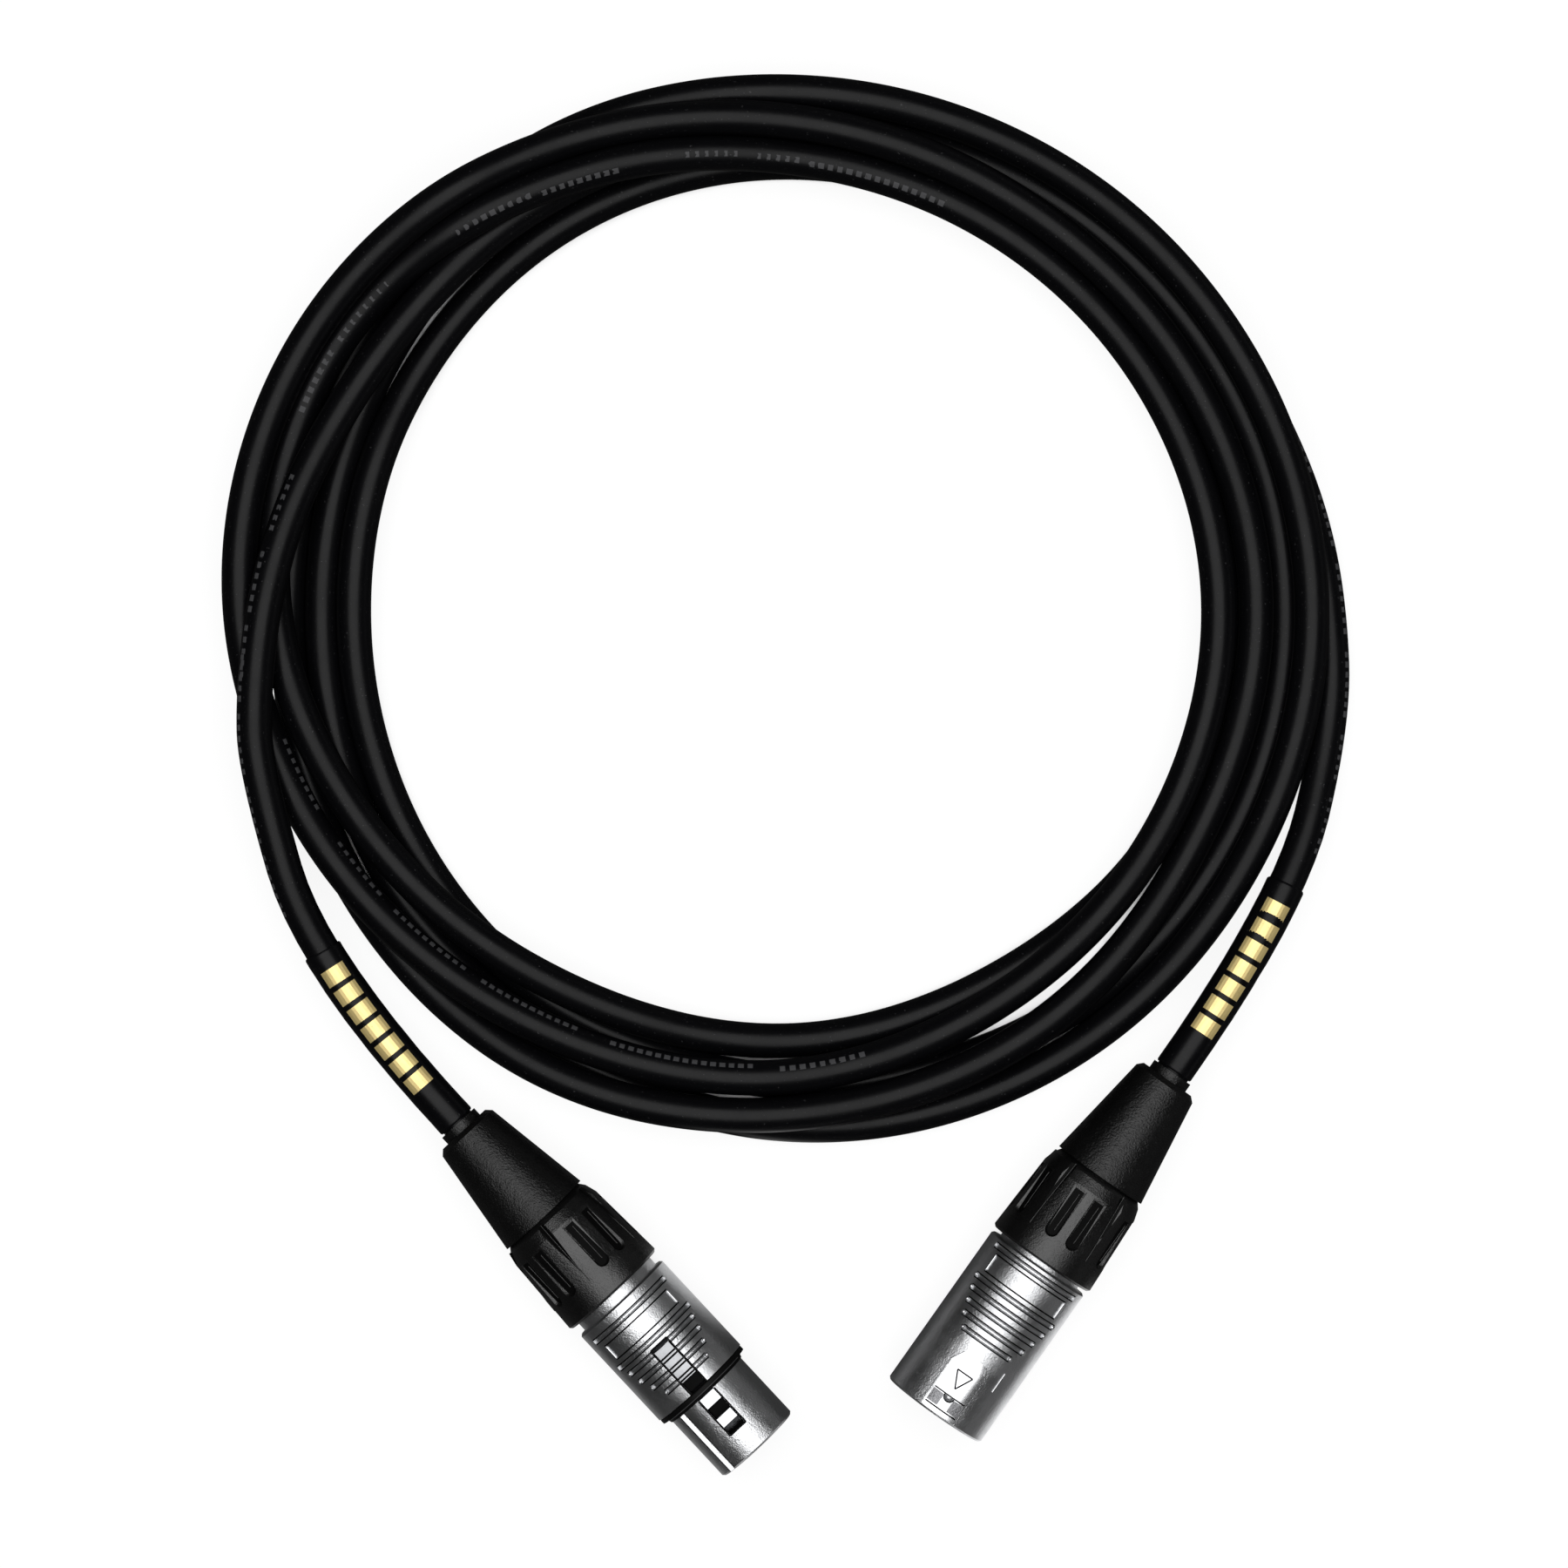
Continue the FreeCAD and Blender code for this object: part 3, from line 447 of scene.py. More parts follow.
# %% [markdown]
# ## The finishes of the lead
#
# The boots are matt rubber, the collars satin moulded plastic with a fine spark-eroded grain. The
# shells are zinc castings with a nickel plate: bright, but with the grain of the casting under it.
# The jacket is soft vinyl with a satin gloss, and the sleeves are shrunk plastic, a little
# glossier than the jacket.

# %% Rubber, plastic and print
rubber = finish("Boot rubber", 0.002, 0.006, 0.30, 0.10, 0.34, 0.200, specular=0.34, dust=0.06)
moulded = finish("Moulded collar", 0.002, 0.006, 0.28, 0.08, 0.28, 0.110, specular=0.58, dust=0.03)
insert_black = finish("Insert plastic", 0.003, 0.008, 0.32, specular=0.04)
latch_black = finish("Latch arm plastic", 0.002, 0.005, 0.42, specular=0.03)
ring_rubber = finish("Ring rubber", 0.002, 0.005, 0.48, specular=0.10)
# Painted highlight: a grey lighter than the ring rubber, for the bright line on the ring's lip.
ring_lip_painted_highlight = finish("Ring lip", (0.060, 0.060, 0.062), 0.030, 0.40, specular=0.30)
chuck_white = finish("Chuck plastic", (0.62, 0.62, 0.58), (0.50, 0.50, 0.46), 0.45, 0.10, 0.25, 0.005)
wire_red = finish("Red conductor", (0.46, 0.025, 0.02), (0.35, 0.03, 0.03), 0.35)
wire_white = finish("White conductor", (0.72, 0.72, 0.69), (0.60, 0.60, 0.57), 0.35)
jacket = finish("Cable jacket", (0.002, 0.002, 0.0025), (0.004, 0.004, 0.0045), 0.32, 0.05, 0.35, 0.012,
                specular=0.135, dust=0.10)
shrink = finish("Shrunk sleeve", (0.002, 0.002, 0.0025), (0.004, 0.004, 0.0045), 0.28, 0.06, 0.50, 0.012,
                specular=0.15, dust=0.06)
gold_print = finish("Gold print", (0.80, 0.63, 0.27), (0.62, 0.46, 0.18), 0.34, 0.08, 0.12, metallic=0.6)
grey_print = finish("Grey print", (0.055, 0.055, 0.058), 0.015, 0.50, 0.10, 0.12, 0.003, specular=0.2)
# Painted shade: near-black and nearly without gloss, for thin lines where an edge, a cut or a gap would hold
# shadow.
painted_edge_shade = finish("Dark edge", 0.002, 0.004, 0.55, bump_mm=0.003, specular=0.05)
# Painted shade: near-black and matt, for the floors of the collar's pockets and the walls of its flutes, as
# recesses are dark.
pocket_painted_shade = finish("Pocket floor", 0.002, 0.005, 0.50, bump_mm=0.006, specular=0.05)

# %% Metal
metal = partial(finish, metallic=1.0)
nickel = metal("Nickel plate", (0.52, 0.525, 0.535), (0.42, 0.42, 0.43), 0.29, 0.10, 0.28, 0.100)
polished = metal("Polished panel", (0.56, 0.565, 0.575), (0.50, 0.50, 0.51), 0.20, 0.08, 0.30, 0.006)
latch_steel = metal("Latch metal", (0.46, 0.47, 0.48), (0.38, 0.38, 0.39), 0.26, 0.08, 0.25, 0.012)
button_metal = metal("Button metal", (0.30, 0.305, 0.315), (0.24, 0.24, 0.25), 0.36, 0.08, 0.25, 0.030)
silver = metal("Contact silver", (0.86, 0.84, 0.80), (0.70, 0.66, 0.58), 0.14, 0.08, 0.15, 0.003)
spring_steel = metal("Spring steel", (0.56, 0.56, 0.57), (0.45, 0.44, 0.42), 0.24, bump_mm=0.003)
copper = metal("Drain copper", (0.80, 0.42, 0.26), (0.50, 0.30, 0.20), 0.25, grain_mm=0.15)
knurled = metal("Etched band", (0.24, 0.24, 0.25), 0.05, 0.40, 0.10, 0.30, 0.160)
print("materials:", len(bpy.data.materials))

# %% [markdown]
# ## Finishes on the CAD pieces
#
# Each CAD node keeps its mesh.

# %% Dress the CAD nodes
NODE_FINISH = {
    "boot": rubber, "collar": moulded, "chuck": chuck_white, "shell": nickel, "insert": insert_black,
    "ground_spring": spring_steel, "cable_end": jacket, "wire_1": wire_red, "wire_2": wire_white,
    "wire_drain": copper, "pin_1": silver, "pin_2": silver, "pin_3": silver, "socket_1": silver,
    "socket_2": silver, "socket_3": silver, "nose_ring": ring_rubber,
}
LATCH_FINISH = {
    "latch_arm": latch_black, "latch_button": button_metal, "latch_plate": latch_steel,
    "latch_hook": latch_steel, "latch_spring": spring_steel, "latch_pin": spring_steel,
}
dressed = 0
for name, node in nodes.items():
    side, _, part = name.partition("_")
    material = LATCH_FINISH.get(name) or (NODE_FINISH.get(part) if side in ("male", "female") else None)
    if material is None:
        continue
    for slot in node.material_slots:
        slot.material = material
    dressed += 1
print("dressed CAD nodes:", dressed)

# %% [markdown]
# ## The cable's piece
#
# The curve with its thickness is the piece. It stands for the two tails and the ring that the CAD
# model holds in its place.

# %% Finish the cable
cable_curve.materials.append(jacket)

# %% [markdown]
# ## Shrunk sleeves
#
# A sleeve of shrink tube lies over each tail beside its connector. On the real lead it is pushed on
# and shrunk with hot air, so it follows the cable, swells a little here and there, and ends in a
# plain cut edge. A tree sweeps a circle along the cable's line and sets the radius at every point.

# %% Tree for a sleeve
sleeve_tree, given = geometry_tree("Shrunk sleeve", Cable_Radius=0.00305, Wall=0.0004, Edge=0.0003,
                                   Swell=0.00012, Step=0.00025)
make, calc = builders(sleeve_tree)
as_curve = make("GeometryNodeMeshToCurve", i0=given["Geometry"])
even = make("GeometryNodeResampleCurve", {"mode": "LENGTH"}, Curve=as_curve, Length=given["Step"])
along = add(sleeve_tree, "GeometryNodeSplineParameter").outputs["Length"]
total = add(sleeve_tree, "GeometryNodeSplineLength").outputs["Length"]
to_end = calc("MINIMUM", along, calc("SUBTRACT", total, along))
lip = make("ShaderNodeMapRange", {"interpolation_type": "SMOOTHERSTEP"}, Value=to_end,
           From_Max=given["Edge"], To_Min=0.55)
waves = noise(sleeve_tree, make("GeometryNodeInputPosition"), 160.0, 2.0)
swell = calc("MULTIPLY", calc("SUBTRACT", waves, 0.5), given["Swell"])
wall = calc("MULTIPLY", given["Wall"], lip)
radius = calc("ADD", given["Cable Radius"], calc("ADD", wall, swell))
ring = make("GeometryNodeCurvePrimitiveCircle", Resolution=40, Radius=1.0)
tube = make("GeometryNodeCurveToMesh", Curve=even, Profile_Curve=ring, Scale=radius, Fill_Caps=True)
end_tree(sleeve_tree, given, make("GeometryNodeSetShadeSmooth", Geometry=tube))

# %% Both sleeves
SLEEVE_GAP = 0.0003
SLEEVE_LENGTH = 0.0375
SLEEVE_ENDS = {
    "left_sleeve_cover": (SLEEVE_GAP, SLEEVE_GAP + SLEEVE_LENGTH),
    "right_sleeve_cover": (CABLE_LENGTH - SLEEVE_GAP - SLEEVE_LENGTH, CABLE_LENGTH - SLEEVE_GAP),
}
sleeves = {}
for name, (start, end) in SLEEVE_ENDS.items():
    sleeves[name] = run_tree(name, sleeve_tree, line_mesh(name, [(start, end, 0)]), {"Material": shrink})

# %% [markdown]
# ## Marks on the jacket and the sleeves
#
# The jacket carries short grey dashes along its side, and each sleeve a row of gold blocks. Both
# are plain ink. They could be painted in the material, but ink has a crisp edge, so a tree sets
# thin curved bars along the cable, turned about it by an angle that the start mesh carries.


# %% Tree for marks along the cable
def rolled(tree, x, angle, radius):
    """Place at x, turned round the X axis by an angle from the top, at a radius."""
    make, calc = builders(tree)
    return make("ShaderNodeCombineXYZ", X=x, Y=calc("MULTIPLY", calc("SINE", angle), radius),
                Z=calc("MULTIPLY", calc("COSINE", angle), radius))


mark_tree, given = geometry_tree("Marks along a line", Pitch=0.0016, Bar_Length=0.001, Bar_Width=0.0012,
                                 Surface_Radius=0.00305, Lift=0.00002, Kept=0.8, Shortest=0.4, Seed=1)
make, calc = builders(mark_tree)
dots = add(mark_tree, "GeometryNodeCurveToPoints", {"mode": "LENGTH"}, Length=given["Pitch"],
           Curve=make("GeometryNodeMeshToCurve", i0=given["Geometry"]))
sheet = make("GeometryNodeMeshGrid", Size_X=given["Bar Length"], Size_Y=given["Bar Width"],
             Vertices_X=2, Vertices_Y=9)
flat = add(mark_tree, "ShaderNodeSeparateXYZ", Vector=make("GeometryNodeInputPosition")).outputs
reach = calc("ADD", given["Surface Radius"], given["Lift"])
bent = rolled(mark_tree, flat["X"], calc("DIVIDE", flat["Y"], reach), reach)
bar = make("GeometryNodeSetPosition", Geometry=sheet, Position=bent)
kept = add(mark_tree, "FunctionNodeRandomValue", {"data_type": "BOOLEAN"}, Probability=given["Kept"],
           Seed=given["Seed"])
size = add(mark_tree, "FunctionNodeRandomValue", i2=given["Shortest"], i3=1.0, Seed=given["Seed"])
level = make("FunctionNodeAlignRotationToVector", {"axis": "Z"}, Vector=(0.0, 0.0, 1.0))
led = make("FunctionNodeAlignRotationToVector", {"axis": "X", "pivot_axis": "Z"}, Rotation=level,
           Vector=dots.outputs["Tangent"])
around = add(mark_tree, "GeometryNodeInputNamedAttribute", Name="around").outputs["Attribute"]
turned = make("FunctionNodeRotateRotation", {"rotation_space": "LOCAL"}, Rotation=led,
              Rotate_By=make("ShaderNodeCombineXYZ", X=around))
bars = make("GeometryNodeInstanceOnPoints", Points=dots.outputs["Points"], Selection=kept.outputs[3],
            Instance=bar, Rotation=turned,
            Scale=make("ShaderNodeCombineXYZ", X=size.outputs[1], Y=1.0, Z=1.0))
end_tree(mark_tree, given, bars)

# %% Gold blocks on the sleeves
SLEEVE_R = CABLE_D / 2 + 0.0004
GOLD_PLACES = {
    "left_sleeve_marks": (0.0100, 0.0330),
    "right_sleeve_marks": (CABLE_LENGTH - 0.0330, CABLE_LENGTH - 0.0098),
}
marks = []
for name, (start, end) in GOLD_PLACES.items():
    marks.append(run_tree(name, mark_tree, line_mesh(name, [(start, end, 0)]), {
        "Pitch": 0.00383, "Bar Length": 0.0029, "Bar Width": 0.0047, "Surface Radius": SLEEVE_R,
        "Lift": 0.00009, "Kept": 1.0, "Shortest": 1.0, "Material": gold_print}))

# %% Grey dashes on the jacket
NEAR_POINTS = 90


def length_at_angle(angle):
    """Length along the cable at an angle of the coil, from the nearest point on the same turn."""
    place = Vector(coil_point(angle, coil_radius(angle) / REACH, 0.0)).to_2d()
    guess = int(len(line) * (angle - FIRST_ANGLE) / (LAST_ANGLE - FIRST_ANGLE))
    near = range(max(guess - NEAR_POINTS, 0), min(guess + NEAR_POINTS, len(line)))
    return line_lengths[min(near, key=lambda k: (line[k].to_2d() - place).length)]


# Angles of the coil where each group starts and ends, and how far it is turned towards the inside.
DASH_GROUPS = [
    (82, 87, -50), (89, 95, -46), (98, 104, -40),
    (832, 839, 4), (841, 848, 6), (858, 867, 20), (869, 878, 28), (887, 893, 8), (896, 901, 12),
    (903, 921, 18), (1071, 1081, 30), (1084, 1101, 45), (1106, 1118, 52), (1121, 1131, 55),
    (1134, 1141, 58), (1146, 1154, 58),
]
# The same on the tails, as lengths from each end.
LEFT_DASHES = [(0.046, 0.056, -62), (0.059, 0.068, -60), (0.071, 0.080, -57), (0.083, 0.090, -54)]
RIGHT_DASHES = [(0.134, 0.128), (0.122, 0.111), (0.106, 0.098), (0.094, 0.083), (0.079, 0.069),
                (0.065, 0.058), (0.054, 0.045)]
dash_places = [(length_at_angle(first), length_at_angle(last), turn) for first, last, turn in DASH_GROUPS]
dash_places += LEFT_DASHES
dash_places += [(CABLE_LENGTH - far, CABLE_LENGTH - near, -54) for far, near in RIGHT_DASHES]
marks.append(run_tree("jacket_marks", mark_tree, line_mesh("jacket_marks", dash_places), {
    "Pitch": 0.0016, "Bar Length": 0.0011, "Bar Width": 0.0010, "Lift": 0.00002,
    "Kept": 1.0, "Shortest": 0.8, "Material": grey_print}))


# %% [markdown]
# ## Working in a connector's own frame
#
# The small features of the shells are easier to place along the connector's axis: x from the boot's
# shoulder towards the mating end, and an angle round the axis from the top. A matrix then carries
# them to their place, and it is applied to the mesh so that the object stays at the origin. From
# here to the floor, all places, radii and widths on the connectors are in millimetres.

# %% Frames of the two connectors
def connector_frame(x, y, heading):
    """Matrix of a connector from its boot's shoulder and its heading in degrees."""
    return Matrix.Translation((x, y, CONNECTOR_AXIS)) @ Matrix.Rotation(math.radians(heading), 4, "Z")


FEMALE = connector_frame(-0.060698, 0.023675, -47.0)
MALE = connector_frame(0.060202, 0.032275, -125.2)


def on_shell(x_mm, angle, radius_mm):
    """Point on a connector: along its axis, round it in degrees from the top, and out from it."""
    turn = math.radians(angle)
    return Vector((x_mm, radius_mm * math.sin(turn), radius_mm * math.cos(turn))) / 1000


def degrees_wide(width_mm, radius_mm):
    """Angle in degrees that a width takes on a shell."""
    return math.degrees(width_mm / radius_mm)


# %% Pieces on a connector
def finished(name, mesh, connector, material):
    """Put a mesh at its connector, give it its finish and let it ride on the lead."""
    mesh.transform(connector)
    mesh.materials.append(material)
    piece = bpy.data.objects.new(name, mesh)
    scene.collection.objects.link(piece)
    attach(piece, "lead")


def grown(name, tree, mesh, connector, values, body="lead"):
    """Run a tree on a mesh, put the result at its connector and let it ride on a body."""
    piece = run_tree(name, tree, mesh, values)
    piece.data.transform(connector)
    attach(piece, body)
    return piece


# %% Sheets and ribbons
# Millimetres by which a thin plate lies above the metal, so that it hides it.
CLEARANCE = 0.012


def sheet_mesh(rows):
    """Smooth sheet through rows of points, all of one length."""
    columns = len(rows[0])
    faces = [(a, a + columns, a + columns + 1, a + 1) for row in range(len(rows) - 1)
             for a in range(row * columns, (row + 1) * columns - 1)]
    mesh = new_mesh("sheet", [point for row in rows for point in row], faces=faces)
    mesh.shade_smooth()
    return mesh


def patch(outline, radius_mm):
    """Thin curved plate on a shell, from rows of (x, low angle, high angle)."""
    columns = 12
    return sheet_mesh([[on_shell(x, low + (high - low) * k / columns, radius_mm)
                        for k in range(columns + 1)] for x, low, high in outline])


def ribbon_mesh(points):
    """Band through pairs of points."""
    return new_mesh("ribbon", points, faces=[(k, k + 1, k + 3, k + 2) for k in range(0, len(points) - 2, 2)])


def stroke(start, end, width_mm, radius_mm, lift_mm=CLEARANCE):
    """Thin line on a shell between two (x, angle) places."""
    (x0, a0), (x1, a1) = start, end
    along = Vector((x1 - x0, math.radians(a1 - a0) * radius_mm))
    side = Vector((-along.y, along.x)).normalized() * (width_mm / 2)
    turn = math.degrees(side.y / radius_mm)
    steps = max(6, round(abs(a1 - a0) / 2))
    points = []
    for k in range(steps + 1):
        x = x0 + (x1 - x0) * k / steps
        a = a0 + (a1 - a0) * k / steps
        points += [on_shell(x + side.x, a + turn, radius_mm + lift_mm),
                   on_shell(x - side.x, a - turn, radius_mm + lift_mm)]
    return ribbon_mesh(points)


# %% [markdown]
# ## Small features of the male shell
#
# The raised panel carries an engraved triangle that points to the mating end, a fine line across
# and an etched band round the thumb notch, and a short line stands beside it. Cutting them into
# the mesh would need many faces for a tenth of a millimetre, so they are thin plates that lie on
# the metal: the triangle and the lines across are near-black painted shade where a cut would hold
# its shadow, and the etched band has a rougher finish.

# %% Triangle and lines, in painted shade
PANEL_R = 9.8
SHELL_R = 9.6
ON_PANEL = 0.045


def painted_shade_strokes(name, ends, width_mm, connector, radius_mm, lift_mm=CLEARANCE):
    """Numbered lines of painted shade on a shell, each between a pair of (x, angle) places."""
    for number, (start, end) in enumerate(ends, start=1):
        mesh = stroke(start, end, width_mm, radius_mm, lift_mm)
        finished("%s_%d" % (name, number), mesh, connector, painted_edge_shade)


half = degrees_wide(1.55, PANEL_R)
corners = [(60.8, -half), (60.8, half), (63.9, 0.0)]
painted_shade_strokes("panel_triangle", zip(corners, corners[1:] + corners[:1]), 0.27, MALE, PANEL_R, ON_PANEL)
edge = degrees_wide(3.1, PANEL_R)
for name, x, width_mm in (("panel_line", 65.35, 0.25), ("mouth_line", 68.2, 0.26)):
    finished(name, stroke((x, -edge), (x, edge), width_mm, PANEL_R, ON_PANEL), MALE, painted_edge_shade)

# %% Faces of the panel and the etched band
notch, narrow, wide = (degrees_wide(width_mm, PANEL_R) for width_mm in (0.98, 2.2, 3.42))
panel_faces = [
    [(57.8, -narrow, narrow), (59.9, -wide, wide), (65.45, -wide, wide)],
    [(65.45, notch, wide), (66.5, notch, wide)],
    [(65.45, -wide, -notch), (66.5, -wide, -notch)],
    [(66.5, -wide, wide), (69.0, -wide, wide)],
]
etched_bands = [
    [(65.6, notch, edge), (67.9, notch, edge)],
    [(65.6, -edge, -notch), (67.9, -edge, -notch)],
]
for name, outlines, lift_mm, material in (("panel_face", panel_faces, 0.020, polished),
                                          ("etched_band", etched_bands, 0.032, knurled)):
    for number, outline in enumerate(outlines, start=1):
        finished("%s_%d" % (name, number), patch(outline, PANEL_R + lift_mm), MALE, material)
print("plates on the panel:", len(panel_faces) + len(etched_bands))

# %% [markdown]
# ## Round bottoms for the grooves
#
# The CAD model cuts every groove of a shell square, which is enough for its size. A cast groove has
# a rounded bottom, and only a curved surface turns the light into a fine dark line on each side of
# a bright one. The troughs could be modelled one by one, but they are one shape with other places
# and sweeps. So a tree lays them out flat, as instances whose scale is the sweep, and then rolls
# the whole sheet round the shell.

# %% Tree for rolled troughs
trough_tree, given = geometry_tree("Rolled troughs", Shell_Radius=0.0096, Half_Width=0.0004, Depth=0.00028)
make, calc = builders(trough_tree)
strip = make("GeometryNodeMeshGrid", Size_X=2.0, Size_Y=2.0, Vertices_X=13, Vertices_Y=41)
flat = add(trough_tree, "ShaderNodeSeparateXYZ", Vector=make("GeometryNodeInputPosition")).outputs
steep = calc("POWER", calc("ABSOLUTE", flat["X"]), 3.0)
bowed = make("ShaderNodeCombineXYZ", X=flat["X"], Y=flat["Y"], Z=calc("SUBTRACT", steep, 1.0))
trough = make("GeometryNodeSetPosition", Geometry=strip, Position=bowed)
sweep_of = add(trough_tree, "GeometryNodeInputNamedAttribute", Name="half_sweep").outputs["Attribute"]
stretch = make("ShaderNodeCombineXYZ", X=given["Half Width"], Y=sweep_of, Z=given["Depth"])
laid = make("GeometryNodeInstanceOnPoints", Points=given["Geometry"], Instance=trough, Scale=stretch)
laid_out = make("GeometryNodeRealizeInstances", Geometry=laid)
sheet = add(trough_tree, "ShaderNodeSeparateXYZ", Vector=make("GeometryNodeInputPosition")).outputs
bent = rolled(trough_tree, sheet["X"], sheet["Y"], calc("ADD", given["Shell Radius"], sheet["Z"]))
round_shell = make("GeometryNodeSetPosition", Geometry=laid_out, Position=bent)
end_tree(trough_tree, given, make("GeometryNodeSetShadeSmooth", Geometry=round_shell))

# %% Troughs on both shells
GRIP_PITCH = 2.12
SLOT_HALF = 1.7
FEMALE_R = 9.5
MALE_LINES = [(39.95, 59)]
MALE_GRIPS = [(46.0 + GRIP_PITCH * number, sweep) for number, sweep in enumerate((58, 53, 47, 41, 31.5))]
FEMALE_LINES = [(41.9, 60), (48.0, 60)]
FEMALE_GRIPS = [(49.9 + GRIP_PITCH * number, sweep) for number, sweep in enumerate((52.5, 48, 40.5, 30.5))]


def troughs(name, rows, connector, radius_mm, material, body="lead", **sizes):
    """Troughs from rows of (x, middle angle, half sweep), rolled round one connector."""
    mesh = new_mesh(name, [(x / 1000, math.radians(middle), 0.0) for x, middle, half in rows])
    sweeps = mesh.attributes.new("half_sweep", "FLOAT", "POINT")
    sweeps.data.foreach_set("value", [math.radians(half) for x, middle, half in rows])
    values = {label.replace("_", " "): value for label, value in sizes.items()}
    values.update({"Shell Radius": radius_mm / 1000, "Material": material})
    grown(name, trough_tree, mesh, connector, values, body)


slot_half = math.degrees(math.asin(SLOT_HALF / FEMALE_R))
male_rows = [(x, turn, half) for x, half in MALE_LINES + MALE_GRIPS for turn in (0, 180)]
female_rows = [(x, 0, half) for x, half in FEMALE_LINES]
female_rows += [(x, 180, half) for x, half in FEMALE_LINES + FEMALE_GRIPS]
for x, half in FEMALE_GRIPS:
    female_rows += [(x, side * (half + slot_half) / 2, (half - slot_half) / 2) for side in (1, -1)]
troughs("male_groove_bottoms", male_rows, MALE, SHELL_R, nickel)
troughs("female_groove_bottoms", female_rows, FEMALE, FEMALE_R, nickel)

# %% Painted shade: dark lines in the push button's cuts and along the rims of the grooves
BUTTON_R = 9.65
BUTTON_GROOVE_HALF = 0.32
BUTTON_SWEEP = 9.2
RIM_HALF = 0.11
RIM_OUT = 0.375 + RIM_HALF
RIM_SHORTER = 0.6

# The button's lines are painted shade where its deep cuts would be dark.
rib_rows = [(x + side * BUTTON_GROOVE_HALF, 0, BUTTON_SWEEP)
            for x, half in FEMALE_GRIPS[1:] for side in (1, -1)]
troughs("button_groove_lines", rib_rows, FEMALE, BUTTON_R + CLEARANCE, painted_edge_shade, "latch",
        Half_Width=0.00017, Depth=0.0)
# The rims are flat near-black strips of painted shade beside each groove, where its edges would be dark.
for name, rows, connector, radius_mm in (("male_groove_rims", male_rows, MALE, SHELL_R),
                                         ("female_groove_rims", female_rows, FEMALE, FEMALE_R)):
    rims = [(x + side * RIM_OUT, middle, half - RIM_SHORTER) for x, middle, half in rows for side in (1, -1)]
    troughs(name, rims, connector, radius_mm + CLEARANCE, painted_edge_shade, Half_Width=RIM_HALF / 1000, Depth=0.0)

# %% [markdown]
# ## Beads at the ends of the grip grooves
#
# Each grip groove runs out in a small round end that catches the light as a bright dot. A tree puts
# a small bead at every end, from a mesh that holds only the places.

# %% Beads on both shells
BEAD_DEPTH = 0.22

bead_tree, given = geometry_tree("Beads", Radius=0.00046)
make = partial(made, bead_tree)
ball = make("GeometryNodeMeshUVSphere", Segments=16, Rings=10, Radius=given["Radius"])
round_ball = make("GeometryNodeSetShadeSmooth", Geometry=ball)
end_tree(bead_tree, given, make("GeometryNodeInstanceOnPoints", Points=given["Geometry"], Instance=round_ball))
for name, connector, radius_mm, grips in (("male_grip_beads", MALE, SHELL_R, MALE_GRIPS),
                                          ("female_grip_beads", FEMALE, FEMALE_R, FEMALE_GRIPS)):
    places = [on_shell(x, angle, radius_mm - BEAD_DEPTH) for x, sweep in grips
              for angle in (sweep, -sweep, 180 + sweep, 180 - sweep)]
    beads = grown(name, bead_tree, new_mesh(name, places), connector, {"Material": nickel})

# %% [markdown]
# ## Painted shade along edges
#
# Where two pieces meet or a plate is let in, a real edge holds a thin shadow. A gap of a tenth
# of a millimetre is too fine to show that by light alone, so thin lines of painted shade lie along
# the slot of the push button, the window of the nose, the bare plates and the keyway.

# %% Lines of painted shade round the slot, the window, the plates and the keyway
NOSE_R = 8.0
EDGE_WIDTH = 0.26
PLATE_SWEEP = 49
KEYWAY_ENDS = (61.2, 73.9)
KEYWAY_HALF = 0.625
KEYWAY_ANGLE = -45


def painted_shade_outline(name, radius_mm, back, front, stretched):
    """Line of painted shade up one side of an opening, across its end at x = front and down the other side."""
    beside = degrees_wide(SLOT_HALF + EDGE_WIDTH / 2, radius_mm) * stretched
    corners = [(back, beside), (front, beside), (front, -beside), (back, -beside)]
    painted_shade_strokes(name, zip(corners, corners[1:]), EDGE_WIDTH, FEMALE, radius_mm)


painted_shade_outline("slot_edge", FEMALE_R, 59.4, 49.23, 1.005)
painted_shade_outline("window_edge", NOSE_R, 61.2, 69.17, 1.01)
for name, connector, radius_mm, xs in (("male_plate_edge", MALE, SHELL_R, (41.17, 44.63)),
                                       ("female_plate_edge", FEMALE, FEMALE_R, (43.47, 46.53))):
    ends = [((x, -PLATE_SWEEP), (x, PLATE_SWEEP)) for x in xs]
    painted_shade_strokes(name, ends, EDGE_WIDTH, connector, radius_mm)
beside_key = degrees_wide(KEYWAY_HALF + 0.11, NOSE_R)
ends = [[(x, KEYWAY_ANGLE + side * beside_key) for x in KEYWAY_ENDS] for side in (1, -1)]
painted_shade_strokes("keyway_edge", ends, 0.18, FEMALE, NOSE_R)

# %% [markdown]
# ## Edge of the raised panel, thumb notch, ring and keyway
#
# The raised panel of the male shell has a soft rolled edge, which shows as a bright line, the bare
# plates end in a rounded lip, and so does the ring at the root of the nose, whose lip is a lighter
# grey as a painted highlight. All are thin rods along a line, made by the tree that sweeps the
# sleeves. The thumb notch is a small bowl, and the keyway of the female nose has a bevelled wall that faces
# up.


# %% Rolled edges and lips
def thin_rods(name, mesh, thick_mm, connector, material, **more):
    """Thin round rods along the edges of a mesh."""
    grown(name, sleeve_tree, mesh, connector,
          {"Cable Radius": thick_mm / 2000, "Wall": 0.0, "Swell": 0.0, "Material": material, **more})


def rod(name, corners, radius_mm, thick_mm, connector, material):
    """Thin round rod through (x, angle) places on a shell."""
    points = [on_shell(x, angle, radius_mm) for x, angle in corners]
    mesh = new_mesh(name, points, [(k, k + 1) for k in range(len(points) - 1)])
    thin_rods(name, mesh, thick_mm, connector, material)


